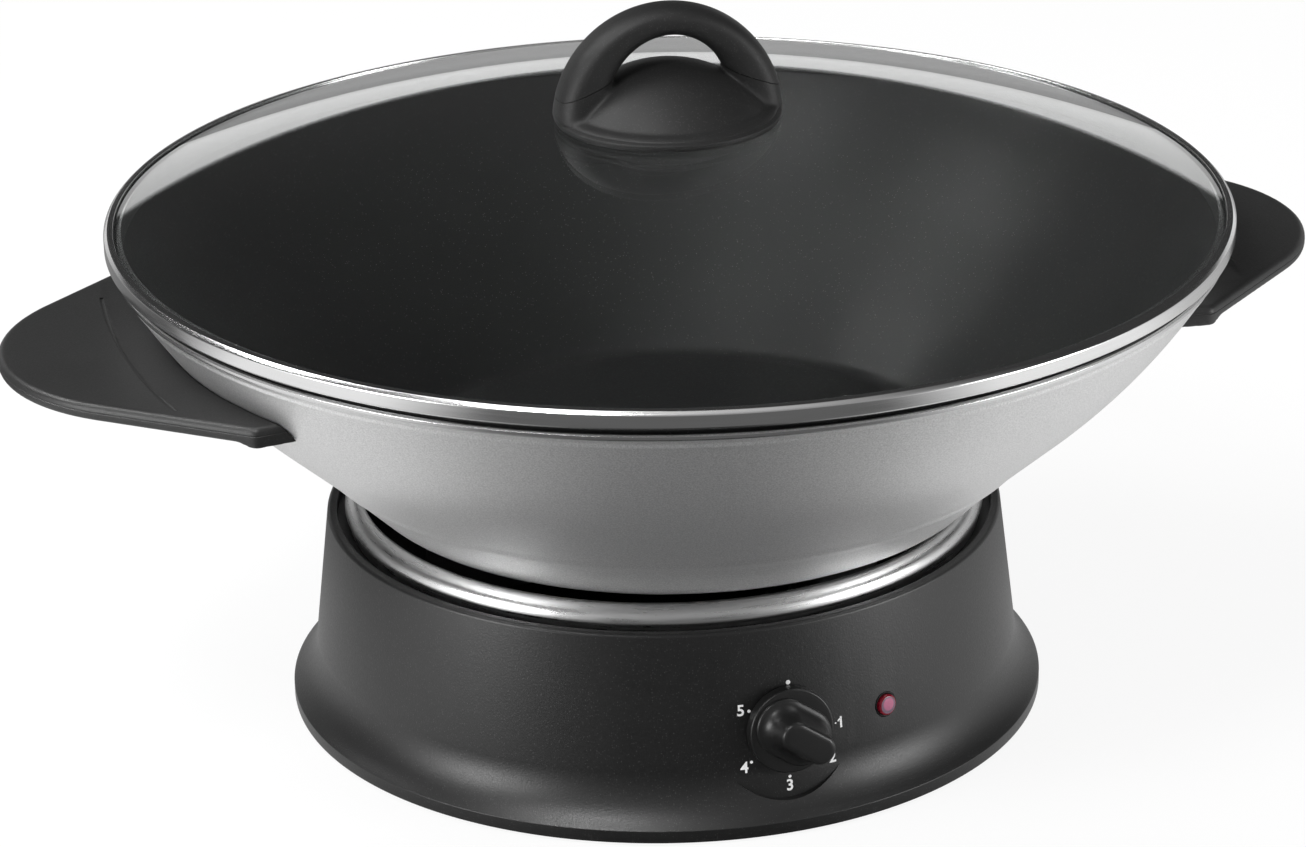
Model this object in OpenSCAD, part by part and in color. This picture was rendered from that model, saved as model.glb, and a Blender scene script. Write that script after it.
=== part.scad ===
// Electric wok: a moulded heating base, a loose cast bowl with two wing handles
// and a domed glass lid. Millimetres, +Z up, the control knob faces -Y.

/* [Base housing] */
// Outer radius of the wall at the top lip
top_r = 110.1; // [106:0.1:114]
// How far the flare stands out from the wall's foot
flare_out = 8.5; // [6:0.1:11]
// Height of the upright band at the foot of the skirt
band_h = 4.2; // [2.5:0.1:5]
// Height of the concave flare above the band
flare_h = 17; // [14:0.5:19]
// Height of the housing, from the skirt's lower edge to the top lip
housing_h = 64.3; // [62.5:0.1:67]
// How much the wall's radius grows for each millimetre downwards
wall_lean = 0.12; // [0.09:0.01:0.13]
// Thickness of the moulded wall
wall_t = 2.8; // [2.2:0.1:3.2]
// Depth of the step behind the top lip that the pan's rim stands on
ledge_drop = 4; // [3:0.1:5]
// How far the bowl stands off the base's centre, along X
bowl_offset = 3.6; // [0:0.1:3.8]

/* [Bottom cover and feet] */
// Thickness of the bottom cover
cover_t = 2.2; // [1.8:0.1:3]
// Radius of a rubber foot
foot_r = 8; // [6:0.5:9]
// How far the feet lift the skirt off the table
foot_lift = 0.8; // [0.8:0.1:2]
// How far the feet's centres lie inside the skirt's edge
foot_inset = 20.8; // [18:0.1:26]
// How far the cover's screws lie inside the skirt's edge
screw_inset = 26.8; // [24:0.1:30]
// Length of an air slot in the cover
slot_l = 20; // [12:1:26]

/* [Reflector pan and heater] */
// How far the pan's turned-down rim lies inside the wall's top lip
pan_inset = 5.7; // [5.2:0.1:6.4]
// Height that the pan's rim stands above the housing's ledge
pan_rim_h = 10; // [9:0.1:10.4]
// Width of the rim, from its outer wall to its inner wall
pan_rim_w = 5; // [4:0.1:5.2]
// Depth of the pan below its rim
pan_depth = 27; // [25:0.5:28]
// Thickness of the pan's sheet
pan_t = 1; // [0.8:0.1:1.4]
// Radius of the heater tube
tube_r = 3.4; // [3:0.1:3.8]
// How far the heater's outer turn lies inside the edge of the bowl's disc
coil_inset = 10; // [7:0.5:12]
// Distance between the heater's two turns
coil_pitch = 20; // [18:0.5:24]

/* [Thermostat, knob and lamp] */
// Height of the knob's axis on the wall
knob_z = 32.5; // [31:0.1:34.5]
// Radius of the knob's flange
knob_r = 13.6; // [12.5:0.1:15]
// Thickness of the knob's flange
flange_t = 4.2; // [3:0.1:5]
// Height of the knob's grip above the wall
grip_h = 15.5; // [12:0.1:18]
// Where the knob's pointer stands, clockwise from the off mark
knob_turn = 125; // [0:1:290]
// Radius of the thermostat's shaft
shaft_r = 3; // [2.5:0.1:3.5]
// Radial running gap round the shaft
shaft_gap = 0.05; // [0.02:0.01:0.1]
// Radius of the dial face cut into the flare
dial_r = 24.5; // [21:0.1:26]
// Angle from the knob round to the lamp
lamp_turn = 17.8; // [16.5:0.1:22]
// Height of the lamp on the wall
lamp_z = 31.6; // [30:0.1:36]
// Radius of the lamp's lens
lens_r = 4.3; // [3.5:0.1:5]

/* [Bowl] */
// Radius of the bowl's outer edge
rim_r = 177.6; // [165:0.1:190]
// Height of the bowl from its flat underside to its outer edge
bowl_h = 85.5; // [80:0.1:90]
// Gap between the pan's rim and the bowl's underside
bowl_gap = 1.4; // [0.6:0.1:3]
// Slope of the bowl's wall, in degrees from level
cone_angle = 42; // [41:0.1:43.5]
// Slope of the steeper foot cone under the wall
foot_angle = 44.5; // [44:0.1:48]
// Height of the crease between the two cones above the underside
crease_h = 17.8; // [14:0.1:20]
// Radius of the round shoulder under the lip
shoulder_r = 190; // [170:1:210]
// Thickness of the bowl's wall
bowl_t = 2.8; // [2.2:0.1:3.2]
// Radius of the heat-spreading disc under the bowl
disc_r = 76; // [70:0.5:78]
// Thickness of the heat-spreading disc
disc_t = 6; // [5:0.1:7]
// How far the bowl and its handles are turned about Z
bowl_turn = -2; // [-10:0.5:10]

/* [Side handles] */
// How far a handle's tip stands out beyond the bowl's edge
handle_out = 39.4; // [34:0.1:46]
// Radius of a handle's round nose
nose_r = 60; // [56:0.5:64]
// How far a handle's top face lies below the bowl's edge
handle_drop = 18.7; // [16:0.1:22]
// Thickness of a handle at its edge
handle_t = 5.4; // [4.8:0.1:6.4]
// Depth of the crescent hollow beside the bowl
crescent_drop = 1.2; // [0.6:0.1:1.8]
// Depth of the thicker foot at each end of a handle's root
foot_drop = 1.1; // [0.6:0.1:3]

/* [Lid] */
// How far the lid's steel hoop stands out beyond the bowl's edge
hoop_out = 2.4; // [2:0.1:3.2]
// Height of the hoop's top edge above the bowl's edge
hoop_lift = 8; // [7.8:0.1:8.8]
// Rise of the glass dome above its edge
dome_rise = 30.6; // [27:0.1:34]
// Thickness of the glass
glass_t = 3.5; // [3:0.1:3.7]
// Radius of the lid handle's round base
grip_base_r = 36.3; // [35.5:0.1:38]
// How far the arch stands out beyond that base
arch_out = 0.7; // [0.2:0.1:2]
// Width of the arch, front to back
arch_w = 16; // [14:0.1:19]
// How far the lid is turned about Z
lid_turn = -5.3; // [-15:0.1:15]

/* [Hidden] */
SINGLES = [
    "base_housing", "bottom_cover", "reflector_pan", "heating_coil", "heat_shield", "thermal_fuse",
    "terminal_block", "cord_gland", "cord_clamp", "thermostat_plate", "thermostat_body",
    "indicator_lens", "lamp_holder", "control_knob", "thermostat_shaft", "wok_bowl", "heat_disc",
    "lid_glass", "lid_hoop", "lid_handle_base", "lid_handle_arch", "lid_screw", "lid_washer",
];
SIDES = ["right", "left"];

$fn = 96;
hull_fn = 32;
big = 400;
seat_gap = 0.3;

// Base housing
lean_angle = atan(wall_lean);
skirt_z = foot_lift;
flare_z = skirt_z + band_h;
wall_z = flare_z + flare_h;
housing_top = skirt_z + housing_h;
ledge_z = housing_top - ledge_drop;
function wall_r(z) = top_r + (housing_top - z) * wall_lean;
skirt_r = wall_r(wall_z) + flare_out;
flare_r = (flare_h * flare_h + flare_out * flare_out) / (2 * flare_out);
lip_r = 1.3;
pan_r = top_r - pan_inset;
step_r = pan_r + 2.6;
gland_z = 28;
gland_r = 5;
cord_r = 3.4;
clamp_inset = 36;
block_inset = 60;

// Bottom cover
cover_z = skirt_z + 0.8;
cover_top = cover_z + cover_t;
cover_r = skirt_r - wall_t - 0.9;
cover_turns = [45:90:315];
foot_ring_r = skirt_r - foot_inset;
cover_screw_ring_r = skirt_r - screw_inset;
cover_screw_r = 1.5;
screw_head_r = 3.2;
screw_head_h = 1.2;
cover_boss_r = 4.6;
cover_boss_h = 26;
foot_turns = [0:90:270];
foot_stem_r = 3;
slot_r = 22;
slot_w = 4;
slots = 16;

// Pan, heater and the three stacks that carry them
pan_top = ledge_z + pan_rim_h;
pan_floor = pan_top - pan_depth;
pan_wall_r = pan_r - pan_rim_w;
pan_corner_r = 12;
ledge_r = pan_wall_r + pan_t + 0.4;
coil_outer_r = disc_r - coil_inset;
coil_inner_r = coil_outer_r - coil_pitch;
stack_turns = [60, 180, 300];
stack_r = (coil_inner_r + coil_outer_r) / 2;
pan_screw_r = 2;
spacer_r = 4.2;
post_r = 5.2;
shield_t = 1;
shield_out = 18;
shield_r = coil_outer_r + shield_out;
shield_top = pan_floor - 9;
shield_z = shield_top - shield_t;
bowl_floor_z = pan_top + bowl_gap;
disc_bottom = bowl_floor_z - disc_t;
bracket_top = disc_bottom - seat_gap;
bracket_t = 1.6;
bracket_y = 6;
bracket_out = 8;
bracket_ends = [coil_inner_r - bracket_out, disc_r + bowl_offset + 0.6];
tube_gap = 0.4;
coil_z = bracket_top - tube_r - tube_gap;
coil_open = 16;
elbow_r = 8;
leg_drop = 14;
leg_bottom = shield_z - leg_drop;
sleeve_h = 3;
sleeve_t = 0.2;
collar_r = 5;

// Thermostat, knob and lamp, measured inwards from the wall's outside
plate_seat = wall_t + 3.7;
plate_t = 1.2;
plate_size = [34, 20];
plate_screw_x = 11;
plate_screw_r = 1.4;
body_size = [28, 16, 16];
shaft_hole_r = shaft_r + 1.2;
knob_back = 0.8;
lens_seat = wall_t + 0.5;

// Bowl section: flat floor, round corner, foot cone, wall cone and round shoulder
rim_z = bowl_floor_z + bowl_h;
lip_w = 2.4;
lip_h = 4.6;
shoulder_end = 31;
shoulder_top = [rim_r - lip_w, rim_z - lip_h];
shoulder_c = shoulder_top + shoulder_r * [-cos(shoulder_end), sin(shoulder_end)];
crease_angle = (foot_angle + cone_angle) / 2;
crease_z = bowl_floor_z + crease_h;
wall_foot = shoulder_c + shoulder_r * [sin(cone_angle), -cos(cone_angle)];
crease = [wall_foot[0] - (wall_foot[1] - crease_z) / tan(cone_angle), crease_z];
corner_r = 10.5;
foot_rise = crease_h - corner_r * (1 - cos(foot_angle));
corner_c = [crease[0] - foot_rise / tan(foot_angle) - corner_r * sin(foot_angle), bowl_floor_z + corner_r];

// Side handles
handle_reach = rim_r + handle_out;
handle_z = rim_z - handle_drop;
flank_angle = 50;
flank = [sin(flank_angle), -cos(flank_angle)];
flank_l = 54.4;
nose_end = [handle_reach - nose_r * (1 - cos(flank_angle)), nose_r * sin(flank_angle)];
root_corner = nose_end - flank_l * flank;
root_run = [22, 3];
root_end = root_corner - root_run;
root_inner = [36, 6];
root_round = 3;
root_turn = 98;
handle_bottom = handle_z - handle_t;
handle_gap = 0.15;
foot_l = 7;
foot_w = 25;
crescent_r = 323;
crescent_x = rim_r + 1.7;
crescent_half = 60;
lug_t = 1.6;
lug_w = 34;
lug_x = handle_reach - 23;
lug_start = rim_r - 57.6;
lug_screw_x = lug_x - 8;
lug_screw_y = 11;
handle_screw_r = 1.6;

// Lid
hoop_r = rim_r + hoop_out;
hoop_z = rim_z + hoop_lift;
glass_r = hoop_r - 1.3;
hoop_h = 5.4;
glass_edge_z = hoop_z - 1;
glass_top = glass_edge_z + dome_rise;
sphere_r = (glass_r * glass_r + dome_rise * dome_rise) / (2 * dome_rise);
sphere_z = glass_top - sphere_r;
function glass_z(r, drop = 0) = sphere_z + sqrt(pow(sphere_r - drop, 2) - r * r);
grip_z = glass_z(grip_base_r) + 0.2;
ridge_r = grip_base_r - 4.8;
ridge_z = grip_z + 4;
cap_rise = 14.6;
cap_r = (ridge_r * ridge_r + cap_rise * cap_rise) / (2 * cap_rise);
arch_r = grip_base_r + arch_out;
arch_z = grip_z + 0.4;
opening_r = arch_r - 13.1;
opening_lift = 3.5;
seam_in = [18, 15.6];
seam_out = [46, 4.6];
seam_gap = 0.25;
lid_screw_r = 2.4;

// ---- Helpers ----

function arc(c, r, from, to, n = 8) =
    [for (i = [0:n]) let (a = from + (to - from) * i / n) [c[0] + r * cos(a), c[1] + r * sin(a)]];

// One side of the bowl's section, moved inwards by t
function bowl_side(t) = concat(
    arc(corner_c, corner_r - t, -90, foot_angle - 90, 5),
    [crease + t / cos((foot_angle - cone_angle) / 2) * [-sin(crease_angle), cos(crease_angle)]],
    arc(shoulder_c, shoulder_r - t, cone_angle - 90, -shoulder_end, 8)
);

// A closed body through equal rings of points
module skin(rings) {
    sides = len(rings[0]);
    last = len(rings) - 1;
    polyhedron(
        points = [for (ring = rings) each ring],
        faces = concat(
            [[for (j = [0:sides - 1]) j]],
            [for (i = [0:last - 1], j = [0:sides - 1])
                let (k = (j + 1) % sides)
                [i * sides + j, (i + 1) * sides + j, (i + 1) * sides + k, i * sides + k]],
            [[for (j = [sides - 1:-1:0]) last * sides + j]]
        ),
        convexity = 6
    );
}

module tube(outer, inner, h) {
    difference() {
        cylinder(r = outer, h = h);
        translate([0, 0, -1]) cylinder(r = inner, h = h + 2);
    }
}

// The base's own centre, beside the bowl's axis
module at_base() translate([-bowl_offset, 0, 0]) children();

// A place on the housing's wall: local z points out of the wall and local y up it
module on_wall(turn, z) {
    rotate([0, 0, turn]) translate([0, -wall_r(z), z]) rotate([90 - lean_angle, 0, 0]) children();
}

module on_dial() on_wall(0, knob_z) children();

module on_lamp() on_wall(lamp_turn, lamp_z) children();

module on_rear() on_wall(180, gland_z) children();

module at_stack(i) rotate([0, 0, stack_turns[i - 1]]) translate([stack_r, 0, 0]) children();

module at_bowl(turn = 0) rotate([0, 0, bowl_turn + turn]) children();

module at_lid() rotate([0, 0, lid_turn]) children();

// ---- Base housing, bottom cover and feet ----

function flare_arc() =
    arc([wall_r(wall_z) + flare_r, wall_z], flare_r, 180 + asin(flare_h / flare_r), 180, 9);

module housing_shell() {
    under_ledge = ledge_z - wall_t;
    rotate_extrude($fn = 180) polygon(concat(
        [[skirt_r - wall_t, skirt_z], [skirt_r - 0.4, skirt_z], [skirt_r, skirt_z + 0.4]],
        flare_arc(),
        arc([top_r - lip_r, housing_top - lip_r], lip_r, 0, 90, 5),
        [[step_r + 0.4, housing_top], [step_r, housing_top - 0.4], [step_r, ledge_z]],
        [[ledge_r, ledge_z], [ledge_r, under_ledge], [wall_r(under_ledge) - wall_t, under_ledge]],
        [[wall_r(wall_z) - wall_t, wall_z - 1], [skirt_r - wall_t, flare_z - 1]]
    ));
}

// The cone that the wall would follow without its flare
module wall_cone() {
    translate([0, 0, -20])
        cylinder(r1 = wall_r(-20), r2 = wall_r(housing_top), h = housing_top + 20, $fn = 180);
}

// The solid between the flare's outside and the wall's inside, had the wall no flare
module flare_fill() {
    rotate_extrude($fn = 180) polygon(concat(
        [[wall_r(flare_z) - wall_t, flare_z]],
        flare_arc(),
        [[wall_r(wall_z) - wall_t, wall_z]]
    ));
}

module cover_boss() {
    boss_top = cover_top + cover_boss_h;
    rib_t = 2.4;
    translate([cover_screw_ring_r, 0, cover_top]) cylinder(r = cover_boss_r, h = cover_boss_h);
    translate([0, rib_t / 2, 0]) rotate([90, 0, 0]) linear_extrude(rib_t) polygon([
        [cover_screw_ring_r, cover_top], [skirt_r - wall_t + 0.5, cover_top],
        [skirt_r - wall_t + 0.5, flare_z - 1], [wall_r(wall_z) - wall_t + 0.5, wall_z - 1],
        [wall_r(boss_top) - wall_t + 0.5, boss_top], [cover_screw_ring_r, boss_top],
    ]);
}

module base_housing() {
    color("#2b2b2c") at_base() difference() {
        union() {
            housing_shell();
            for (a = cover_turns) rotate([0, 0, a]) cover_boss();
            intersection() {
                on_dial() translate([0, 0, -plate_seat]) cylinder(r = plate_size[0] / 2 + 1, h = plate_seat);
                wall_cone();
            }
            intersection() {
                on_dial() translate([0, 0, -8]) cylinder(r = dial_r + wall_t, h = 30);
                flare_fill();
            }
        }
        difference() {
            on_dial() translate([0, 0, -4]) cylinder(r = dial_r, h = 30);
            wall_cone();
        }
        on_dial() translate([0, 0, -12]) cylinder(r = shaft_hole_r, h = 30);
        for (x = [-1, 1] * plate_screw_x)
            on_dial() translate([x, 0, -12]) cylinder(r = plate_screw_r, h = 11);
        on_lamp() translate([0, 0, -9]) cylinder(r = lens_r + 0.1, h = 20);
        on_rear() translate([0, 0, -12]) cylinder(r = gland_r + 0.1, h = 20);
        for (a = cover_turns) rotate([0, 0, a]) translate([cover_screw_ring_r, 0, 0])
            cylinder(r = cover_screw_r + 0.05, h = cover_top + 17);
    }
}

module air_slots() {
    for (i = [0:slots - 1]) rotate([0, 0, (i + 0.5) * 360 / slots]) translate([slot_r, 0, -1])
        linear_extrude(cover_t + 2) {
            translate([slot_l / 2, 0]) square([slot_l, slot_w], center = true);
            circle(d = slot_w);
            translate([slot_l, 0]) circle(d = slot_w);
        }
}

module bottom_cover() {
    color("#262627") at_base() difference() {
        union() {
            translate([0, 0, cover_z]) cylinder(r = cover_r, h = cover_t);
            for (i = [1:3])
                at_stack(i) translate([0, 0, cover_z]) cylinder(r = post_r, h = shield_z - cover_z);
        }
        translate([0, 0, cover_z]) air_slots();
        for (i = [1:3]) at_stack(i) translate([0, 0, cover_top]) cylinder(r = pan_screw_r + 0.05, h = big);
        for (a = cover_turns) rotate([0, 0, a]) translate([cover_screw_ring_r, 0, cover_z - 1]) {
            cylinder(r = cover_screw_r + 0.3, h = 10);
            cylinder(r = screw_head_r + 0.2, h = screw_head_h + 1);
        }
        for (a = foot_turns) rotate([0, 0, a]) translate([foot_ring_r, 0, 0])
            cylinder(r = foot_stem_r + 0.05, h = 20);
    }
}

module rubber_foot(i) {
    color("#1b1b1b") at_base() rotate([0, 0, foot_turns[0] + (i - 1) * 90]) translate([foot_ring_r, 0, 0])
        rotate_extrude() polygon([
            [0, 0.6], [foot_r - 3, 0.6], [foot_r - 2.6, 0], [foot_r - 0.5, 0], [foot_r, 0.5],
            [foot_r - 0.3, cover_z], [foot_stem_r, cover_z], [foot_stem_r, cover_top],
            [foot_stem_r + 0.9, cover_top], [foot_stem_r - 0.6, cover_top + 2.4], [0, cover_top + 2.4],
        ]);
}

module cover_screw(i) {
    color("silver") at_base() rotate([0, 0, cover_turns[0] + (i - 1) * 90])
        translate([cover_screw_ring_r, 0, cover_z]) difference() {
            union() {
                cylinder(r = screw_head_r, h = screw_head_h);
                cylinder(r = cover_screw_r, h = cover_t + 14);
            }
            for (a = [0, 90]) rotate([0, 0, a]) cube([3.6, 0.8, 1.4], center = true);
        }
}

// ---- Reflector pan, heater and its carriers ----

module reflector_pan() {
    rim_c = [pan_r - pan_rim_w / 2, pan_top - pan_rim_w / 2];
    corner = [pan_wall_r - pan_corner_r, pan_floor + pan_corner_r];
    color("#c9c9c9") at_base() difference() {
        rotate_extrude($fn = 180) polygon(concat(
            [[0, pan_floor - pan_t]],
            arc(corner, pan_corner_r + pan_t, -90, 0, 7),
            arc(rim_c, pan_rim_w / 2 - pan_t, 180, 0, 8),
            [[pan_r - pan_t, ledge_z], [pan_r, ledge_z]],
            arc(rim_c, pan_rim_w / 2, 0, 180, 12),
            arc(corner, pan_corner_r, 0, -90, 7),
            [[0, pan_floor]]
        ));
        for (i = [1:3]) at_stack(i) translate([0, 0, pan_floor - 5]) cylinder(r = pan_screw_r + 0.1, h = 10);
        for (r = [coil_inner_r, coil_outer_r]) at_leg(r) translate([0, 0, pan_floor - 5])
            cylinder(r = collar_r + 0.1, h = 10);
    }
}

// The upright leg under one end of the coil
module at_leg(r) rotate([0, 0, -coil_open]) translate([r, elbow_r, 0]) children();

module heating_coil() {
    mid_r = (coil_inner_r + coil_outer_r) / 2;
    color("#3a3a3c") at_base() {
        for (r = [coil_inner_r, coil_outer_r]) {
            translate([0, 0, coil_z]) rotate([0, 0, coil_open]) rotate_extrude(angle = 360 - 2 * coil_open)
                translate([r, 0]) circle(tube_r, $fn = 32);
            rotate([0, 0, -coil_open]) translate([r, 0, coil_z - elbow_r]) rotate([0, 0, 90])
                rotate([90, 0, 0]) rotate_extrude(angle = 90) translate([elbow_r, 0])
                    circle(tube_r, $fn = 32);
            at_leg(r) translate([0, 0, leg_bottom]) cylinder(r = tube_r, h = coil_z - elbow_r - leg_bottom);
        }
        rotate([0, 0, coil_open]) translate([mid_r, 0, coil_z]) rotate([0, 0, 180])
            rotate_extrude(angle = 180) translate([coil_outer_r - mid_r, 0]) circle(tube_r, $fn = 32);
        for (r = [coil_inner_r, coil_outer_r]) {
            for (turn = [coil_open, -coil_open])
                rotate([0, 0, turn]) translate([r, 0, coil_z]) rotate([90, 0, 0]) coil_sleeve();
            at_leg(r) translate([0, 0, coil_z - elbow_r]) coil_sleeve();
        }
    }
}

// A thin sleeve where two lengths of the tube are joined
module coil_sleeve() translate([0, 0, -sleeve_h / 2]) cylinder(r = tube_r + sleeve_t, h = sleeve_h);

module coil_terminal(i) {
    r = i == 1 ? coil_inner_r : coil_outer_r;
    color("#e6e2d8") at_base() at_leg(r) translate([0, 0, pan_floor - 8]) difference() {
        union() {
            cylinder(r = collar_r, h = 12);
            translate([0, 0, 8]) cylinder(r = collar_r + 1.8, h = 2);
        }
        translate([0, 0, -1]) cylinder(r = tube_r + 0.05, h = 20);
    }
}

// A bent strip: a foot on the pan's floor and a notched web under the coil
module coil_bracket(i) {
    web = bracket_ends[1] - bracket_ends[0] + 3;
    color("#b9b9ba") at_base() rotate([0, 0, stack_turns[i - 1]]) difference() {
        union() {
            translate([bracket_ends[0], bracket_y, pan_floor])
                cube([web, bracket_t, bracket_top - pan_floor]);
            translate([bracket_ends[1], bracket_y, pan_floor])
                cube([3, bracket_t, bracket_top - pan_floor + 3.5]);
            translate([stack_r - 8, -6, pan_floor]) cube([16, bracket_y + bracket_t + 6, bracket_t]);
        }
        for (r = [coil_inner_r, coil_outer_r])
            translate([sqrt(r * r - pow(bracket_y + bracket_t / 2, 2)), 0, coil_z]) {
                rotate([-90, 0, 0]) cylinder(r = tube_r + tube_gap, h = 20);
                translate([-tube_r - tube_gap, 0, 0]) cube([2 * (tube_r + tube_gap), 20, 20]);
            }
        translate([stack_r, 0, pan_floor - 1]) cylinder(r = pan_screw_r + 0.1, h = 5);
    }
}

module pan_screw(i) {
    head_z = pan_floor + bracket_t;
    color("silver") at_base() at_stack(i) difference() {
        union() {
            translate([0, 0, head_z]) cylinder(r1 = 3.9, r2 = 2.6, h = 2.2);
            translate([0, 0, shield_z - 14]) cylinder(r = pan_screw_r, h = head_z - shield_z + 14.5);
        }
        translate([0, 0, head_z + 2.2])
            for (a = [0, 90]) rotate([0, 0, a]) cube([3.6, 0.8, 1.8], center = true);
    }
}

module shield_spacer(i) {
    color("#c4c4c4") at_base() at_stack(i) translate([0, 0, shield_top])
        tube(spacer_r, pan_screw_r + 0.1, pan_floor - pan_t - shield_top);
}

module heat_shield() {
    color("#bdbdbd") at_base() difference() {
        rotate_extrude() polygon([
            [0, shield_z], [shield_r - 2, shield_z], [shield_r, shield_z + 2], [shield_r, shield_z + 7],
            [shield_r - shield_t, shield_z + 7], [shield_r - shield_t, shield_z + 2.4],
            [shield_r - 2.4, shield_top], [0, shield_top],
        ]);
        for (i = [1:3]) at_stack(i) translate([0, 0, shield_z - 2]) cylinder(r = pan_screw_r + 0.1, h = 8);
        for (r = [coil_inner_r, coil_outer_r]) at_leg(r) translate([0, 0, shield_z - 2])
            cylinder(r = collar_r + 1.6, h = 8);
        translate([0, 0, shield_z - 2]) cylinder(r = 9, h = 8);
    }
}

// A small cartridge strapped to the pan's underside
module thermal_fuse() {
    fuse_r = 2.6;
    fuse_l = 15;
    under_pan = pan_floor - pan_t;
    color("#d8d4c8") at_base() rotate([0, 0, 240]) translate([26, 0, under_pan - fuse_r]) {
        rotate([0, 90, 0]) {
            cylinder(r = fuse_r, h = fuse_l, center = true);
            cylinder(r = 0.6, h = fuse_l + 14, center = true);
        }
        difference() {
            translate([-3, -7, -fuse_r - 0.8]) cube([6, 14, 2 * fuse_r + 0.8]);
            translate([-4, -8, -fuse_r - 1.8]) cube([8, 4, 2 * fuse_r]);
            translate([-4, 4, -fuse_r - 1.8]) cube([8, 4, 2 * fuse_r]);
        }
    }
}

// ---- Mains entry ----

module cord_gland() {
    inner = wall_t + 1.2;
    color("#1f1f1f") at_base() on_rear() rotate_extrude() polygon([
        [cord_r, -inner - 6], [gland_r + 1.2, -inner - 6], [gland_r + 1.6, -inner], [gland_r, -inner],
        [gland_r, seat_gap], [gland_r + 2.4, seat_gap], [gland_r + 2.4, 1.6], [gland_r + 1, 3.2],
        [cord_r + 0.8, 3.6], [cord_r, 2.8],
    ]);
}

module cord_clamp() {
    clamp = [26, 9, 11];
    color("#e4e2dc") at_base() translate([0, cover_r - clamp_inset, cover_top]) difference() {
        translate([-clamp[0] / 2, 0, 0]) cube(clamp);
        translate([0, -1, clamp[2]]) rotate([-90, 0, 0]) cylinder(r = cord_r, h = clamp[1] + 2);
        for (x = [-9, 9]) translate([x, clamp[1] / 2, 3]) cylinder(r = 1.5, h = 10);
    }
}

module terminal_block() {
    pole = 10;
    color("#ece8de") at_base() translate([-1.5 * pole, cover_r - block_inset, cover_top]) difference() {
        union() {
            cube([3 * pole, 16, 7]);
            for (i = [0:2]) translate([i * pole + 1, 2, 0]) cube([pole - 2, 12, 12]);
        }
        for (i = [0:2]) translate([(i + 0.5) * pole, 0, 0]) {
            translate([0, -1, 6]) rotate([-90, 0, 0]) cylinder(r = 1.8, h = 20);
            for (y = [5, 11]) translate([0, y, 7]) cylinder(r = 1.6, h = 10);
        }
    }
}

// ---- Thermostat, knob and lamp ----

module thermostat_plate() {
    color("#bcbcbc") at_base() on_dial() translate([0, 0, -plate_seat - plate_t]) difference() {
        translate([-plate_size[0] / 2, -plate_size[1] / 2, 0]) cube([plate_size[0], plate_size[1], plate_t]);
        translate([0, 0, -1]) cylinder(r = shaft_r + 1.4, h = 5);
        for (x = [-1, 1] * plate_screw_x) translate([x, 0, -1]) cylinder(r = plate_screw_r + 0.1, h = 5);
    }
}

module thermostat_body() {
    color("#d9d3c4") at_base() on_dial() translate([0, 0, -plate_seat - plate_t]) difference() {
        union() {
            translate([-body_size[0] / 2, -body_size[1] / 2, -body_size[2]]) cube(body_size);
            cylinder(r = shaft_r + 1.2, h = plate_t + 2);
        }
        translate([0, 0, -body_size[2] + 3]) cylinder(r = shaft_r + shaft_gap, h = body_size[2] + 10);
        for (x = [-1, 1] * plate_screw_x) translate([x, 0, -4]) cylinder(r = plate_screw_r + 1.6, h = 5);
    }
}

module plate_screw(i) {
    x = (2 * i - 3) * plate_screw_x;
    color("silver") at_base() on_dial() translate([x, 0, -plate_seat - plate_t - 1.8]) {
        cylinder(r = plate_screw_r + 1.2, h = 1.8);
        cylinder(r = plate_screw_r - 0.05, h = 1.8 + plate_t + 4);
    }
}

module thermostat_shaft() {
    color("silver") at_base() on_dial() translate([0, 0, -plate_seat - plate_t - body_size[2] + 4])
        cylinder(r = shaft_r, h = plate_seat + plate_t + body_size[2] + 5);
}

// The two round ends of a slice across the knob's grip
module ends(y0, y1, r, z0, z1) {
    for (y = [y0, y1]) translate([0, y, z0]) cylinder(r = r, h = z1 - z0, $fn = hull_fn);
}

// The knob's grip: a long round bar that narrows towards its top, with its nose over one edge
module knob_grip(z) {
    root_w = knob_r - 4.4;
    waist_w = knob_r - 6.9;
    crest_w = knob_r - 9.2;
    waist_z = z + 3.4;
    hull() {
        ends(-3, 4, root_w, z - 0.4, z + 0.5);
        ends(-2.9, 3.9, root_w - 0.7, z + 1, z + 1.1);
    }
    hull() {
        ends(-2.9, 3.9, root_w - 0.7, z + 1, z + 1.1);
        ends(-2.2, 4.9, waist_w, waist_z - 0.1, waist_z);
    }
    hull() {
        ends(-2.2, 4.9, waist_w, waist_z - 0.1, waist_z);
        ends(-1, 8, crest_w, grip_h - 0.9, grip_h - 0.8);
    }
    hull() {
        ends(-1, 8, crest_w, grip_h - 0.9, grip_h - 0.8);
        ends(-1, 8, crest_w - 0.7, grip_h - 0.1, grip_h);
    }
}

module control_knob() {
    top = knob_back + flange_t;
    color("#1e1e1f") at_base() on_dial() rotate([0, 0, -knob_turn]) difference() {
        union() {
            rotate_extrude() polygon([
                [0, knob_back], [knob_r - 0.5, knob_back], [knob_r, knob_back + 0.5], [knob_r, top - 1],
                [knob_r - 0.4, top - 0.3], [knob_r - 1.2, top], [0, top],
            ]);
            knob_grip(top);
        }
        cylinder(r = shaft_r + 0.01, h = grip_h - 5.5);
    }
}

module indicator_lens() {
    dome_h = 1.5;
    dome_r = (lens_r * lens_r + dome_h * dome_h) / (2 * dome_h);
    edge = asin(lens_r / dome_r);
    color("#a03048") at_base() on_lamp() rotate_extrude() polygon(concat(
        [[0, -lens_seat], [lens_r, -lens_seat]],
        arc([0, 0.2 + dome_h - dome_r], dome_r, 90 - edge, 90, 6)
    ));
}

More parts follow.
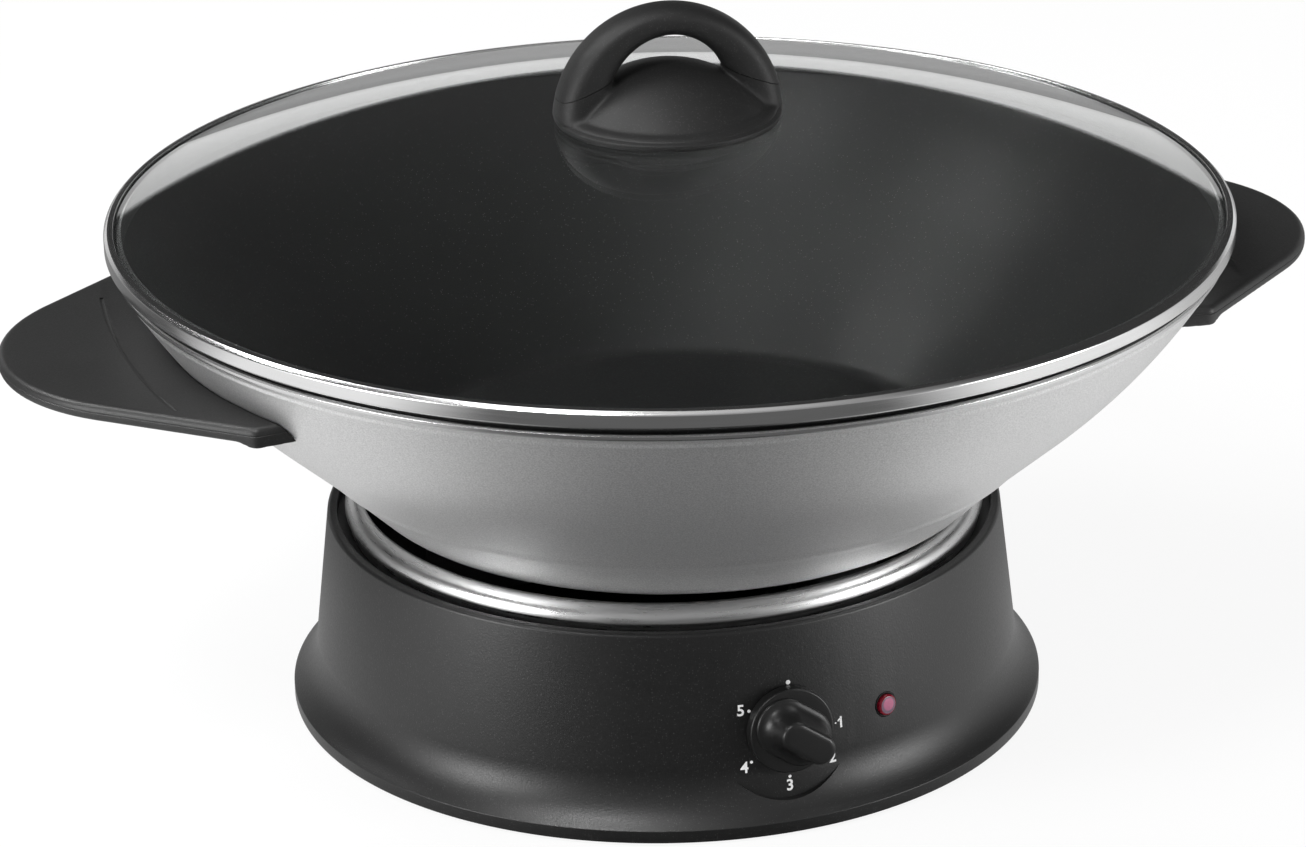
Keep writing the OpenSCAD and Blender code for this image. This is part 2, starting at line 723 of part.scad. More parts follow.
module lamp_holder() {
    color("#e8e4da") at_base() on_lamp() translate([0, 0, -lens_seat - 18]) difference() {
        union() {
            cylinder(r = lens_r + 0.8, h = 18);
            translate([0, 0, 16.2]) cylinder(r = lens_r + 2.6, h = 1.8);
        }
        translate([0, 0, 4]) cylinder(r = lens_r - 1, h = 20);
    }
}

// ---- Bowl and side handles ----

module bowl_solid(outset) {
    side = bowl_side(-outset);
    rotate_extrude($fn = 180) polygon(concat(
        [[0, side[0][1]]], side, [[side[len(side) - 1][0], rim_z + 20], [0, rim_z + 20]]
    ));
}

module wok_bowl() {
    outer = bowl_side(0);
    inner = bowl_side(bowl_t);
    edge = outer[len(outer) - 1];
    color("#8f8f92") at_bowl() rotate_extrude($fn = 180) polygon(concat(
        [[0, bowl_floor_z]],
        outer,
        [[edge[0] + 0.8, edge[1] + 0.5], [rim_r - 0.7, rim_z - 3], [rim_r, rim_z - 1.4]],
        [[rim_r - 0.1, rim_z - 0.4], [rim_r - 0.7, rim_z + 0.1], [rim_r - 1.6, rim_z]],
        [for (j = [len(inner) - 1:-1:0]) inner[j]],
        [[0, bowl_floor_z + bowl_t]]
    ));
}

module heat_disc() {
    color("#9a9a9c") at_bowl() translate([0, 0, disc_bottom]) rotate_extrude() polygon([
        [0, 0], [disc_r - 1, 0], [disc_r, 1], [disc_r, disc_t], [0, disc_t],
    ]);
}

// Half of a handle's outline, from its tip to its root, moved inwards by t
function handle_half(t) = concat(
    arc([handle_reach - nose_r, 0], nose_r - t, 0, flank_angle, 14),
    arc(root_corner - root_round * [0.3, 1.05], root_round - t, flank_angle, root_turn, 4),
    [root_end - [0, t]]
);

function handle_ring(t, z) =
    let (half = handle_half(t), last = len(half) - 1)
    concat(
        [for (p = half) [p[0], p[1], z]],
        [for (j = [last:-1:1]) [half[j][0], -half[j][1], z]]
    );

// The thicker end of the root that hugs the bowl, with a ramp at its outer end
module root_foot() {
    corner = arc(root_corner - root_round * [0.3, 1.05], root_round - 0.2, flank_angle, root_turn, 4);
    function ring(reach, z) = [for (p = concat(
        [corner[0] + reach * flank], corner, [root_end - [0, 0.2], root_corner - root_inner],
        [[corner[0][0] + reach * flank[0] - 16, corner[0][1] - foot_w]]
    )) [p[0], p[1], z]];
    skin([ring(0.6, handle_bottom - foot_drop), ring(foot_l, handle_bottom + 1)]);
}

module side_handle(turn) {
    scoop_r = (crescent_half * crescent_half) / (2 * crescent_drop);
    color("#262626") at_bowl(turn) difference() {
        union() {
            skin([
                handle_ring(1.6, handle_bottom), handle_ring(0.6, handle_bottom + 0.4),
                handle_ring(0, handle_bottom + 1.4), handle_ring(0, handle_z - 1.8),
                handle_ring(0.5, handle_z - 0.6), handle_ring(1.5, handle_z),
            ]);
            root_foot();
            mirror([0, 1, 0]) root_foot();
        }
        bowl_solid(handle_gap);
        intersection() {
            translate([crescent_x - crescent_r, 0, handle_z - 5]) cylinder(r = crescent_r, h = 20, $fn = 240);
            translate([0, 0, handle_z - crescent_drop + scoop_r]) rotate([0, 90, 0])
                cylinder(r = scoop_r, h = big, $fn = 240);
        }
        for (y = [-1, 1] * lug_screw_y) translate([lug_screw_x, y, handle_bottom - 1])
            cylinder(r = handle_screw_r, h = 4.4);
    }
}

// A bent steel strip on the bowl's flank that the handle is screwed to
module handle_lug(turn) {
    color("#b5b5b7") at_bowl(turn) difference() {
        union() {
            translate([lug_start, -lug_w / 2, handle_bottom - lug_t]) cube([lug_x - lug_start, lug_w, lug_t]);
            intersection() {
                bowl_solid(handle_gap + lug_t);
                translate([lug_start, -lug_w / 2, handle_bottom - 16]) cube([80, lug_w, 16]);
            }
        }
        bowl_solid(handle_gap);
        for (y = [-1, 1] * lug_screw_y) translate([lug_screw_x, y, handle_bottom - 5])
            cylinder(r = handle_screw_r + 0.1, h = 10);
    }
}

module handle_screw(turn, i) {
    color("silver") at_bowl(turn)
        translate([lug_screw_x, (2 * i - 3) * lug_screw_y, handle_bottom - lug_t - 1.8]) {
            cylinder(r1 = 2.4, r2 = 3.2, h = 1.8);
            cylinder(r = handle_screw_r - 0.05, h = lug_t + 4.6);
        }
}

// ---- Lid ----

module lid_glass() {
    steps = 16;
    hole_r = lid_screw_r + 0.5;
    function spot(i) = hole_r + (glass_r - hole_r) * i / steps;
    color("#cfd6d8", 0.4) at_lid() rotate_extrude($fn = 180) polygon(concat(
        [for (i = [0:steps]) [spot(i), glass_z(spot(i))]],
        [for (i = [steps:-1:0]) [spot(i), glass_z(spot(i), glass_t)]]
    ));
}

// The rolled steel hoop round the glass, with a skirt that sits inside the bowl's lip
module lid_hoop() {
    low = hoop_z - hoop_h;
    skirt_o = rim_r - 2.8;
    skirt_i = skirt_o - 1.2;
    skirt_low = rim_z - 0.7;
    color("#b4b6b8") at_lid() rotate_extrude($fn = 180) polygon([
        [hoop_r - 0.7, low], [hoop_r, low + 0.7], [hoop_r, hoop_z - 1], [hoop_r - 0.4, hoop_z - 0.2],
        [hoop_r - 1.2, hoop_z + 0.2], [hoop_r - 3, glass_z(hoop_r - 3) + 0.8],
        [hoop_r - 3.2, glass_z(hoop_r - 3.2) + 0.05],
        [glass_r + 0.05, glass_z(glass_r) + 0.1], [glass_r + 0.05, glass_z(glass_r, glass_t) - 0.05],
        [skirt_i, glass_z(skirt_i, glass_t) - 0.05], [skirt_i, skirt_low - 1.1], [skirt_o, skirt_low],
        [skirt_o, low],
    ]);
}

function round_power(x, n) = sign(x) * pow(abs(x), 2 / n);

// One ring of the arch: its outside follows one circle and its opening another
function arch_ring(a, sides = 20) =
    let (
        inner = opening_lift * sin(a) + sqrt(pow(opening_r, 2) - pow(opening_lift * cos(a), 2)),
        mid = (arch_r + inner) / 2,
        half = (arch_r - inner) / 2,
        width = arch_w / 2 + 1.6 * pow(cos(a), 2)
    )
    [for (j = [0:sides - 1])
        let (
            r = mid + half * round_power(cos(j * 360 / sides), 2.6),
            y = width * round_power(sin(j * 360 / sides), 2.6)
        )
        [r * cos(a), y, arch_z + r * sin(a)]];

module arch_loop() {
    overrun = 14;
    rings = 26;
    skin([for (i = [0:rings]) arch_ring(-overrun + (180 + 2 * overrun) * i / rings)]);
}

// Everything below the line where the arch meets the base's shoulders
module below_seam(rise = 0) {
    translate([0, 40, arch_z + rise]) rotate([90, 0, 0]) linear_extrude(80) polygon([
        [-60, -40], [60, -40], [60, seam_out[1]], [seam_out[0], seam_out[1]], seam_in,
        [-seam_in[0], seam_in[1]], [-seam_out[0], seam_out[1]], [-60, seam_out[1]],
    ]);
}

module lid_handle_base() {
    cap_edge = asin(ridge_r / cap_r);
    lip = grip_base_r;
    color("#222222") at_lid() difference() {
        union() {
            rotate_extrude() polygon(concat(
                [[0, grip_z + 1], [lip - 3, grip_z + 1], [lip - 1.6, grip_z], [lip - 0.6, grip_z]],
                [[lip - 0.6, grip_z + 0.9], [lip, grip_z + 1.1], [lip, grip_z + 2]],
                [[lip - 1.2, grip_z + 2.9], [ridge_r + 1, ridge_z], [ridge_r + 0.2, ridge_z + 0.2]],
                arc([0, ridge_z - 0.4 + cap_rise - cap_r], cap_r, 90 - cap_edge, 90, 12)
            ));
            intersection() {
                arch_loop();
                below_seam();
                translate([0, 0, grip_z + 2]) cylinder(r = 60, h = 40);
            }
        }
        translate([0, 0, grip_z - 5]) cylinder(r = lid_screw_r + 0.02, h = 15);
    }
}

module lid_handle_arch() {
    color("#222222") at_lid() difference() {
        arch_loop();
        below_seam(seam_gap);
    }
}

module lid_washer() {
    color("#2a2a2a") at_lid() translate([0, 0, glass_top - glass_t - 1.6]) tube(8, lid_screw_r + 0.1, 1.5);
}

module lid_screw() {
    under = glass_top - glass_t - 1.6;
    color("silver") at_lid() difference() {
        union() {
            translate([0, 0, under - 2.4]) cylinder(r1 = 3.2, r2 = 5, h = 2.4);
            translate([0, 0, under - 0.5]) cylinder(r = lid_screw_r, h = 13);
        }
        translate([0, 0, under - 2.4]) for (a = [0, 90]) rotate([0, 0, a]) cube([4.6, 1, 2], center = true);
    }
}

// ---- What is drawn ----

base_housing();
bottom_cover();
reflector_pan();
heating_coil();
heat_shield();
thermal_fuse();
terminal_block();
cord_gland();
cord_clamp();
thermostat_plate();
thermostat_body();
indicator_lens();
lamp_holder();
control_knob();
thermostat_shaft();
wok_bowl();
heat_disc();
lid_glass();
lid_hoop();
lid_handle_base();
lid_handle_arch();
lid_screw();
lid_washer();
for (i = [1:4]) rubber_foot(i);
for (i = [1:4]) cover_screw(i);
for (i = [1:3]) coil_bracket(i);
for (i = [1:3]) pan_screw(i);
for (i = [1:3]) shield_spacer(i);
for (i = [1:2]) coil_terminal(i);
for (i = [1:2]) plate_screw(i);
for (k = [0, 1]) side_handle(180 * k);
for (k = [0, 1]) handle_lug(180 * k);
for (k = [0, 1], i = [1:2])
    handle_screw(180 * k, i);
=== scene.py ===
import math

import bpy
from mathutils import Matrix, Vector


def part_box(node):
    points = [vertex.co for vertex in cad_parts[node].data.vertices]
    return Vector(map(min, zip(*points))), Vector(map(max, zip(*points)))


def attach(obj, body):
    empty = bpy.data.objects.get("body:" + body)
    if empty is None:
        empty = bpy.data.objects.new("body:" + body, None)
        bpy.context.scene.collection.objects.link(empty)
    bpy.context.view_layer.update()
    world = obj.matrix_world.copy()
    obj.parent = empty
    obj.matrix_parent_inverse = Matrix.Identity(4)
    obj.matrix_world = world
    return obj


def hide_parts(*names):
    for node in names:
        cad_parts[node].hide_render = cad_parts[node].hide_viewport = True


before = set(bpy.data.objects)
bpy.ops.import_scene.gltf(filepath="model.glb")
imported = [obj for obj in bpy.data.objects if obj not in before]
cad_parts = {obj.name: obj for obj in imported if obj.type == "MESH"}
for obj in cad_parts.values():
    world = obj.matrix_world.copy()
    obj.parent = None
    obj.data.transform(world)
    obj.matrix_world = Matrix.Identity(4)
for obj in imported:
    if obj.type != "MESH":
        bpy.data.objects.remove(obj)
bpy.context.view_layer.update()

mm = 0.001         # lengths are in millimetres unless a comment says metres
mergeGap = 2e-6    # metres


# The lowest and the highest corner of a CAD node
def span(node):
    low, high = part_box(node)
    return low / mm, high / mm


def clearSelection():
    if bpy.context.object and bpy.context.object.mode != "OBJECT":
        bpy.ops.object.mode_set(mode="OBJECT")
    bpy.ops.object.select_all(action="DESELECT")


def pick(*pieces):
    clearSelection()
    for piece in pieces:
        piece.select_set(True)
    bpy.context.view_layer.objects.active = pieces[0]


def named(name):
    piece = bpy.context.object
    piece.name = name
    piece.data.name = name
    return piece


def editAll():
    bpy.ops.object.mode_set(mode="EDIT")
    bpy.ops.mesh.select_all(action="SELECT")


def closeEdit(turnOut=False):
    if turnOut:
        bpy.ops.mesh.select_all(action="SELECT")
        bpy.ops.mesh.normals_make_consistent(inside=False)
    bpy.ops.object.mode_set(mode="OBJECT")


def applyPlace(piece, matrix):
    pick(piece)
    piece.matrix_world = matrix
    bpy.ops.object.transform_apply(location=True, rotation=True, scale=True)
    return piece


def smooth(piece, angle):
    pick(piece)
    bpy.ops.object.shade_smooth_by_angle(angle=math.radians(angle))
    return piece


def arcPoints(centre, radius, start, end, count):
    points = []
    for i in range(count + 1):
        turn = math.radians(start + (end - start) * i / count)
        points.append((centre[0] + radius * math.cos(turn), centre[1] + radius * math.sin(turn)))
    return points


# Corners that are given from one spot of the outline
def shifted(corners, radius, height):
    return [(radius + r, height + z, *fillet) for r, z, *fillet in corners]


# A corner given as (r, z, fillet) becomes a short arc
def rounded(outline, perQuarter=10):
    points = []
    for i, corner in enumerate(outline):
        here = Vector(corner[:2])
        if len(corner) < 3:
            points.append(tuple(here))
            continue
        before = (Vector(outline[i - 1][:2]) - here).normalized()
        after = (Vector(outline[(i + 1) % len(outline)][:2]) - here).normalized()
        half = before.angle(after) / 2
        middle = here + (before + after).normalized() * (corner[2] / math.sin(half))
        first = here + before * corner[2] / math.tan(half) - middle
        last = here + after * corner[2] / math.tan(half) - middle
        sweep = first.angle_signed(last)
        count = max(2, round(abs(sweep) / (math.pi / 2) * perQuarter))
        for k in range(count + 1):
            points.append(tuple(middle + Matrix.Rotation(-sweep * k / count, 2) @ first))
    return points


# Spins a closed outline, in millimetres, round an upright axis
def lathe(name, outline, centre=(0, 0), steps=256, matrix=None, angle=28):
    points = rounded(outline)
    clearSelection()
    bpy.ops.mesh.primitive_circle_add(vertices=len(points), radius=0.1)
    piece = named(name)
    for vertex, (r, z) in zip(piece.data.vertices, points):
        vertex.co = (r * mm, 0, z * mm)
    editAll()
    bpy.ops.mesh.spin(steps=steps, angle=2 * math.pi, center=(0, 0, 0), axis=(0, 0, 1))
    bpy.ops.mesh.select_all(action="SELECT")
    bpy.ops.mesh.remove_doubles(threshold=mergeGap)
    bpy.ops.mesh.delete_loose()
    closeEdit(turnOut=True)
    smooth(piece, angle)
    return applyPlace(piece, matrix or Matrix.Translation((centre[0] * mm, centre[1] * mm, 0)))


# Bridges a row of rings, each a list of points in millimetres, and closes both ends
def loft(name, rings, matrix=None, angle=35):
    circles = []
    for ring in rings:
        clearSelection()
        bpy.ops.mesh.primitive_circle_add(vertices=len(ring), radius=0.01)
        circles.append(bpy.context.object)
        for vertex, point in zip(circles[-1].data.vertices, ring):
            vertex.co = Vector(point) * mm
    pick(*circles)
    bpy.ops.object.join()
    piece = named(name)
    editAll()
    bpy.ops.mesh.bridge_edge_loops()
    for first in (0, len(rings[0]) * (len(rings) - 1)):
        bpy.ops.mesh.select_all(action="DESELECT")
        bpy.ops.object.mode_set(mode="OBJECT")
        for index in range(first, first + len(rings[0])):
            piece.data.vertices[index].select = True
        bpy.ops.object.mode_set(mode="EDIT")
        bpy.ops.mesh.select_mode(type="VERT")
        bpy.ops.mesh.edge_face_add()
    closeEdit(turnOut=True)
    smooth(piece, angle)
    return applyPlace(piece, matrix or Matrix.Identity(4))


# A merged copy of a CAD node, so that its round faces can be shaded smooth
def smoothCopy(node, name, angle=32):
    pick(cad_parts[node])
    bpy.ops.object.duplicate()
    piece = named(name)
    for key in [key for key in piece.keys() if key.startswith("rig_")]:
        del piece[key]
    piece.parent = None
    pick(piece)
    editAll()
    bpy.ops.mesh.remove_doubles(threshold=mergeGap)
    if piece.data.has_custom_normals:
        bpy.ops.mesh.customdata_custom_splitnormals_clear()
    closeEdit()
    return smooth(piece, angle)


def applyModifier(piece, kind, **settings):
    pick(piece)
    modifier = piece.modifiers.new("change", kind)
    for key, value in settings.items():
        setattr(modifier, key, value)
    bpy.ops.object.modifier_apply(modifier=modifier.name)


def cut(piece, cutter, how="DIFFERENCE"):
    applyModifier(piece, "BOOLEAN", operation=how, solver="EXACT", object=cutter)
    bpy.data.objects.remove(cutter)
    return piece


# Melts a piece into one skin with soft edges, as a moulding has
def soften(piece, voxel, rounds):
    applyModifier(piece, "REMESH", mode="VOXEL", voxel_size=voxel * mm)
    applyModifier(piece, "SMOOTH", factor=0.5, iterations=rounds)
    return smooth(piece, 60)


# Cuts a piece by a plane and drops the side that the normal points to
def bisect(piece, spot, normal, filled=True):
    pick(piece)
    editAll()
    bpy.ops.mesh.bisect(plane_co=Vector(spot) * mm, plane_no=normal, use_fill=filled, clear_outer=True)
    closeEdit()
    return piece


def copied(piece, name):
    pick(piece)
    bpy.ops.object.duplicate()
    return named(name)


def joined(name, *pieces):
    pick(*pieces)
    bpy.ops.object.join()
    return named(name)


def coat(piece, material, body, slot, *nodes):
    piece.data.materials.clear()
    piece.data.materials.append(material)
    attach(piece, body)
    if nodes:
        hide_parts(*nodes)
    return piece


# Gives a second finish to the faces that are chosen by their middle, in millimetres, and their normal
def paintFaces(piece, material, chosen):
    piece.data.materials.append(material)
    index = len(piece.data.materials) - 1
    for face in piece.data.polygons:
        if chosen(face.center / mm, face.normal):
            face.material_index = index


def addNode(tree, kind, inputs=None, **settings):
    node = tree.nodes.new(kind)
    for key, value in settings.items():
        setattr(node, key, value)
    for key, value in (inputs or {}).items():
        if isinstance(value, bpy.types.NodeSocket):
            tree.links.new(value, node.inputs[key])
        else:
            node.inputs[key].default_value = value
    return node


def maths(tree, operation, first, second):
    return addNode(tree, "ShaderNodeMath", {0: first, 1: second}, operation=operation).outputs[0]


def vectorMaths(tree, operation, output, *inputs):
    return addNode(tree, "ShaderNodeVectorMath", dict(enumerate(inputs)), operation=operation).outputs[output]


def mapped(tree, value, low, high, toLow=0.0, toHigh=1.0):
    return addNode(tree, "ShaderNodeMapRange", {
        "Value": value, "From Min": low, "From Max": high, "To Min": toLow, "To Max": toHigh}).outputs[0]


def glow(tree, kind, strength, colour=(1, 1, 1, 1)):
    return addNode(tree, kind, {"Color": colour, "Strength": strength}).outputs[0]


def mixShaders(tree, factor, first, second):
    return addNode(tree, "ShaderNodeMixShader", {0: factor, 1: first, 2: second}).outputs[0]


# Sockets are given by their names, with _ for a space
def startMaterial(name, **sockets):
    material = bpy.data.materials.new(name)
    material.use_nodes = True
    tree = material.node_tree
    shader = tree.nodes["Principled BSDF"]
    for key, value in sockets.items():
        shader.inputs[key.replace("_", " ")].default_value = value
    place = addNode(tree, "ShaderNodeTexCoord").outputs["Object"]
    return material, tree, shader, place


# A grey ramp through stops of (position, brightness)
def ramp(tree, factor, stops):
    node = addNode(tree, "ShaderNodeValToRGB", {"Fac": factor})
    while len(node.color_ramp.elements) < len(stops):
        node.color_ramp.elements.new(0.5)
    for element, (position, value) in zip(node.color_ramp.elements, stops):
        element.position = position
        element.color = (value, value, value, 1)
    return node.outputs["Color"]


def grey(value):
    return (value, value, value, 1)


def mixColours(tree, factor, first, second):
    node = addNode(tree, "ShaderNodeMix", data_type="RGBA")
    for index, value in ((0, factor), (6, first), (7, second)):
        if isinstance(value, bpy.types.NodeSocket):
            tree.links.new(value, node.inputs[index])
        else:
            node.inputs[index].default_value = value
    return node.outputs[2]


# A cloudy pattern with patches of about this size
def noise(tree, place, size, detail=2.0):
    return addNode(tree, "ShaderNodeTexNoise", {
        "Vector": place, "Scale": 1 / (size * mm), "Detail": detail}).outputs["Fac"]


def baseColour(tree, shader, factor, first, second):
    tree.links.new(mixColours(tree, factor, first, second), shader.inputs["Base Color"])


# Joins a pattern to the roughness and the relief of a shader
def relief(tree, shader, pattern, roughness, spread, depth):
    rough = mapped(tree, pattern, 0.25, 0.75, roughness - spread, roughness + spread)
    tree.links.new(rough, shader.inputs["Roughness"])
    bump = addNode(tree, "ShaderNodeBump", {"Height": pattern, "Distance": depth * mm, "Strength": 1.0})
    tree.links.new(bump.outputs[0], shader.inputs["Normal"])


# Moulded plastic: slow mottling, spark-like flecks, an eroded grain and, if asked for, a parting line
def grainPlastic(name, look):
    material, tree, shader, place = startMaterial(name, Specular_IOR_Level=look["gloss"])
    mottle = noise(tree, place, 16.0, 3.0)
    colour = mixColours(tree, mottle, grey(look["dark"]), grey(look["light"]))
    flecks = addNode(tree, "ShaderNodeTexVoronoi", {"Vector": place, "Scale": 1 / (look["fleckSize"] * mm)})
    near = ramp(tree, flecks.outputs["Distance"], [(0.12, 1.0), (0.34, 0.0)])
    chosen = addNode(tree, "ShaderNodeSeparateColor", {"Color": flecks.outputs["Color"]}).outputs["Red"]
    few = ramp(tree, chosen, [(1 - look["fleckShare"], 0.0), (1 - look["fleckShare"] * 0.5, 1.0)])
    baseColour(tree, shader, maths(tree, "MULTIPLY", near, few), colour, grey(look["fleck"]))
    grain = noise(tree, place, look["grain"])
    if "partingLine" in look:
        height = addNode(tree, "ShaderNodeSeparateXYZ", {"Vector": place}).outputs["Z"]
        away = maths(tree, "ABSOLUTE", maths(tree, "SUBTRACT", height, look["partingLine"] * mm), 0.0)
        grain = maths(tree, "ADD", grain, mapped(tree, away, 0.0, 0.25 * mm, -6.0, 0.0))
    relief(tree, shader, grain, look["roughness"], 0.05, look["relief"])
    return material


# Stretches a pattern round an upright axis, as on spun or turned metal
def roundAxis(tree, place, centre, line):
    centred = addNode(tree, "ShaderNodeMapping", {
        "Vector": place, "Location": (-centre[0] * mm, -centre[1] * mm, 0)}).outputs[0]
    flat = vectorMaths(tree, "MULTIPLY", "Vector", centred, (1, 1, 0))
    radius = vectorMaths(tree, "LENGTH", "Value", flat)
    parts = addNode(tree, "ShaderNodeSeparateXYZ", {"Vector": centred})
    turn = maths(tree, "ARCTAN2", parts.outputs["Y"], parts.outputs["X"])
    unrolled = addNode(tree, "ShaderNodeCombineXYZ", {
        "X": radius, "Y": parts.outputs["Z"], "Z": turn}).outputs[0]
    return vectorMaths(tree, "MULTIPLY", "Vector", unrolled, (1 / (line * mm), 1 / (line * mm), 6.0))


def turnedMetal(name, look):
    material, tree, shader, place = startMaterial(name, Metallic=1.0, Anisotropic=look["stretch"])
    lines = addNode(tree, "ShaderNodeTexNoise", {
        "Vector": roundAxis(tree, place, look["centre"], look["line"]),
        "Scale": 1.0, "Detail": 4.0, "Roughness": 0.65}).outputs["Fac"]
    baseColour(tree, shader, lines, grey(look["dark"]), grey(look["light"]))
    relief(tree, shader, lines, look["roughness"], look["roughness"] * 0.25, look["relief"])
    return material


# Metallic paint: a grey coat full of fine flakes that catch the light differently
def flakePaint(name, look):
    material, tree, shader, place = startMaterial(name, Metallic=look["metal"])
    flakes = noise(tree, place, look["flake"], 1.0)
    spread = ramp(tree, flakes, [(0.3, 0.0), (0.7, 1.0)])
    baseColour(tree, shader, spread, grey(look["dark"]), grey(look["light"]))
    relief(tree, shader, flakes, look["roughness"], 0.05, look["relief"])
    return material


# Tempered glass that lets the lamps through
def clearGlass(name):
    material, tree, shader, place = startMaterial(
        name, Base_Color=(0.97, 0.985, 0.98, 1), IOR=1.5, Transmission_Weight=1.0)
    smear = noise(tree, place, 40.0, 3.0)
    tree.links.new(mapped(tree, smear, 0.0, 1.0, 0.0, 0.01), shader.inputs["Roughness"])
    shadow = addNode(tree, "ShaderNodeLightPath").outputs["Is Shadow Ray"]
    through = addNode(tree, "ShaderNodeBsdfTransparent", {"Color": (0.93, 0.95, 0.94, 1)}).outputs[0]
    mixed = mixShaders(tree, shadow, shader.outputs[0], through)
    tree.links.new(mixed, tree.nodes["Material Output"].inputs["Surface"])
    return material


# Small parts: a plain colour with slow stains and a fine surface
def stainedSolid(name, look):
    material, tree, shader, place = startMaterial(name, Metallic=look.get("metal", 0.0))
    stain = noise(tree, place, look.get("stain", 11.0), 5.0)
    baseColour(tree, shader, stain, (*look["dark"], 1), (*look["light"], 1))
    relief(tree, shader, noise(tree, place, 0.7), look["roughness"], 0.06, look.get("relief", 0.02))
    return material


camera = {
    "spot": (-0.4259, -1.2405, 0.6249),   # metres, from the bowl's axis on the table
    "turn": -0.32580, "down": 0.387585, "roll": -0.018,   # radians
    "lens": 119.652,                      # millimetres, on a 36 mm wide sensor
}
lensData = bpy.data.cameras.new("camera")
lensData.sensor_fit = "HORIZONTAL"
lensData.sensor_width = 36
lensData.lens = camera["lens"]
lensData.clip_end = 20
cameraObject = bpy.data.objects.new("camera", lensData)
bpy.context.scene.collection.objects.link(cameraObject)
cameraObject.matrix_world = (
    Matrix.Translation(camera["spot"]) @ Matrix.Rotation(camera["turn"], 4, "Z")
    @ Matrix.Rotation(math.pi / 2 - camera["down"], 4, "X") @ Matrix.Rotation(camera["roll"], 4, "Z"))
bpy.context.scene.camera = cameraObject
print("camera placed")

# The base's shell: an outline spun round its own axis, then the dial's flat seat and three holes
housing = {
    "wall": 2.8, "band": 4.2, "flareRise": 17, "flareOut": 8.5, "lean": 0.12, "lip": 1.3,
    "ledgeDrop": 4, "ledgeWide": 6.2, "ringGap": 2.6, "ringInset": 5.7,
    "dialRadius": 23.2, "seatBack": -8, "seatFront": 22, "dialBack": -4, "dialFront": 26,
    "coreLow": -20, "coreHigh": 80,
    "knobHeight": 32.5, "knobHole": 4.2, "lampTurn": 17.8, "lampHeight": 31.6, "lampHole": 4.15,
    "glandTurn": 180, "glandHeight": 28, "glandHole": 5.1, "holeReach": 12,
}
housingLow, housingHigh = span("base_housing")
baseCentre = ((housingLow.x + housingHigh.x) / 2, (housingLow.y + housingHigh.y) / 2)
skirtRadius = (housingHigh.x - housingLow.x) / 2
flareBottom = housingLow.z + housing["band"]
flareTop = flareBottom + housing["flareRise"]
topRadius = skirtRadius - housing["flareOut"] - (housingHigh.z - flareTop) * housing["lean"]
wallAngle = math.atan(housing["lean"])


def wallRadius(height):
    return topRadius + (housingHigh.z - height) * housing["lean"]


# A place on the wall: local X to the right, Y up the wall and Z out of it, in millimetres
def onWall(turn, height):
    rise, lean = math.cos(wallAngle), math.sin(wallAngle)
    axes = Matrix(((1, 0, 0), (0, lean, -rise), (0, rise, lean))).to_4x4()
    spot = Matrix.Translation((0, -wallRadius(height) * mm, height * mm)) @ axes
    middle = Matrix.Translation((baseCentre[0] * mm, baseCentre[1] * mm, 0))
    return middle @ Matrix.Rotation(math.radians(turn), 4, "Z") @ spot


def flareCurve():
    rise, out = housing["flareRise"], housing["flareOut"]
    radius = (rise * rise + out * out) / (2 * out)
    centre = (wallRadius(flareTop) + radius, flareTop)
    return arcPoints(centre, radius, 180 + math.degrees(math.asin(rise / radius)), 180, 16)


# A round bar that stands on the wall, from one depth to the other
def wallBar(name, radius, back, front, steps, turn, height):
    return lathe(name, [(0, back), (radius, back), (radius, front), (0, front)], steps=steps,
                 matrix=onWall(turn, height))


def makeHousing():
    wall, top, bottom = housing["wall"], housingHigh.z, housingLow.z
    ledge = top - housing["ledgeDrop"]
    stepRadius = topRadius - housing["ringInset"] + housing["ringGap"]
    ledgeEnd = stepRadius - housing["ledgeWide"]
    shell = lathe("housing", [
        (skirtRadius - wall, bottom), (skirtRadius, bottom, 0.5), (skirtRadius, flareBottom - 0.1, 0.4)]
        + flareCurve()[1:]
        + [(topRadius, top, housing["lip"]), (stepRadius, top, 0.4), (stepRadius, ledge),
           (ledgeEnd, ledge), (ledgeEnd, ledge - wall), (wallRadius(ledge) - wall, ledge - wall),
           (wallRadius(flareTop) - wall, flareTop - 1), (skirtRadius - wall, flareBottom - 1)],
        baseCentre, 360)
    seat = lathe("dialSeat", [
        (wallRadius(flareBottom) - wall, flareBottom)] + flareCurve()
        + [(wallRadius(flareTop) - wall, flareTop)], baseCentre, 360)
    around = wallBar("dialAround", housing["dialRadius"] + wall, housing["seatBack"], housing["seatFront"],
                     96, 0, housing["knobHeight"])
    cut(seat, around, "INTERSECT")
    cut(shell, seat, "UNION")
    dial = wallBar("dialCutter", housing["dialRadius"], housing["dialBack"], housing["dialFront"],
                   128, 0, housing["knobHeight"])
    low, high = housing["coreLow"], housing["coreHigh"]
    core = lathe("wallCore", [
        (0, low), (wallRadius(low), low), (wallRadius(high), high), (0, high)], baseCentre, 360)
    cut(dial, core)
    cut(shell, dial)
    reach = housing["holeReach"]
    for turn, height, radius in (
            (0, housing["knobHeight"], housing["knobHole"]),
            (housing["lampTurn"], housing["lampHeight"], housing["lampHole"]),
            (housing["glandTurn"], housing["glandHeight"], housing["glandHole"])):
        cut(shell, wallBar("holeCutter", radius, -reach, reach, 64, turn, height))
    return smooth(shell, 28)


housingPlastic = grainPlastic("housingPlastic", {
    "dark": 0.006, "light": 0.0085, "roughness": 0.41, "gloss": 0.56, "fleckSize": 0.55, "fleckShare": 0.3,
    "fleck": 0.05, "grain": 0.6, "relief": 0.045})
coat(makeHousing(), housingPlastic, "base", "housing_plastic", "base_housing")
print("housing made")

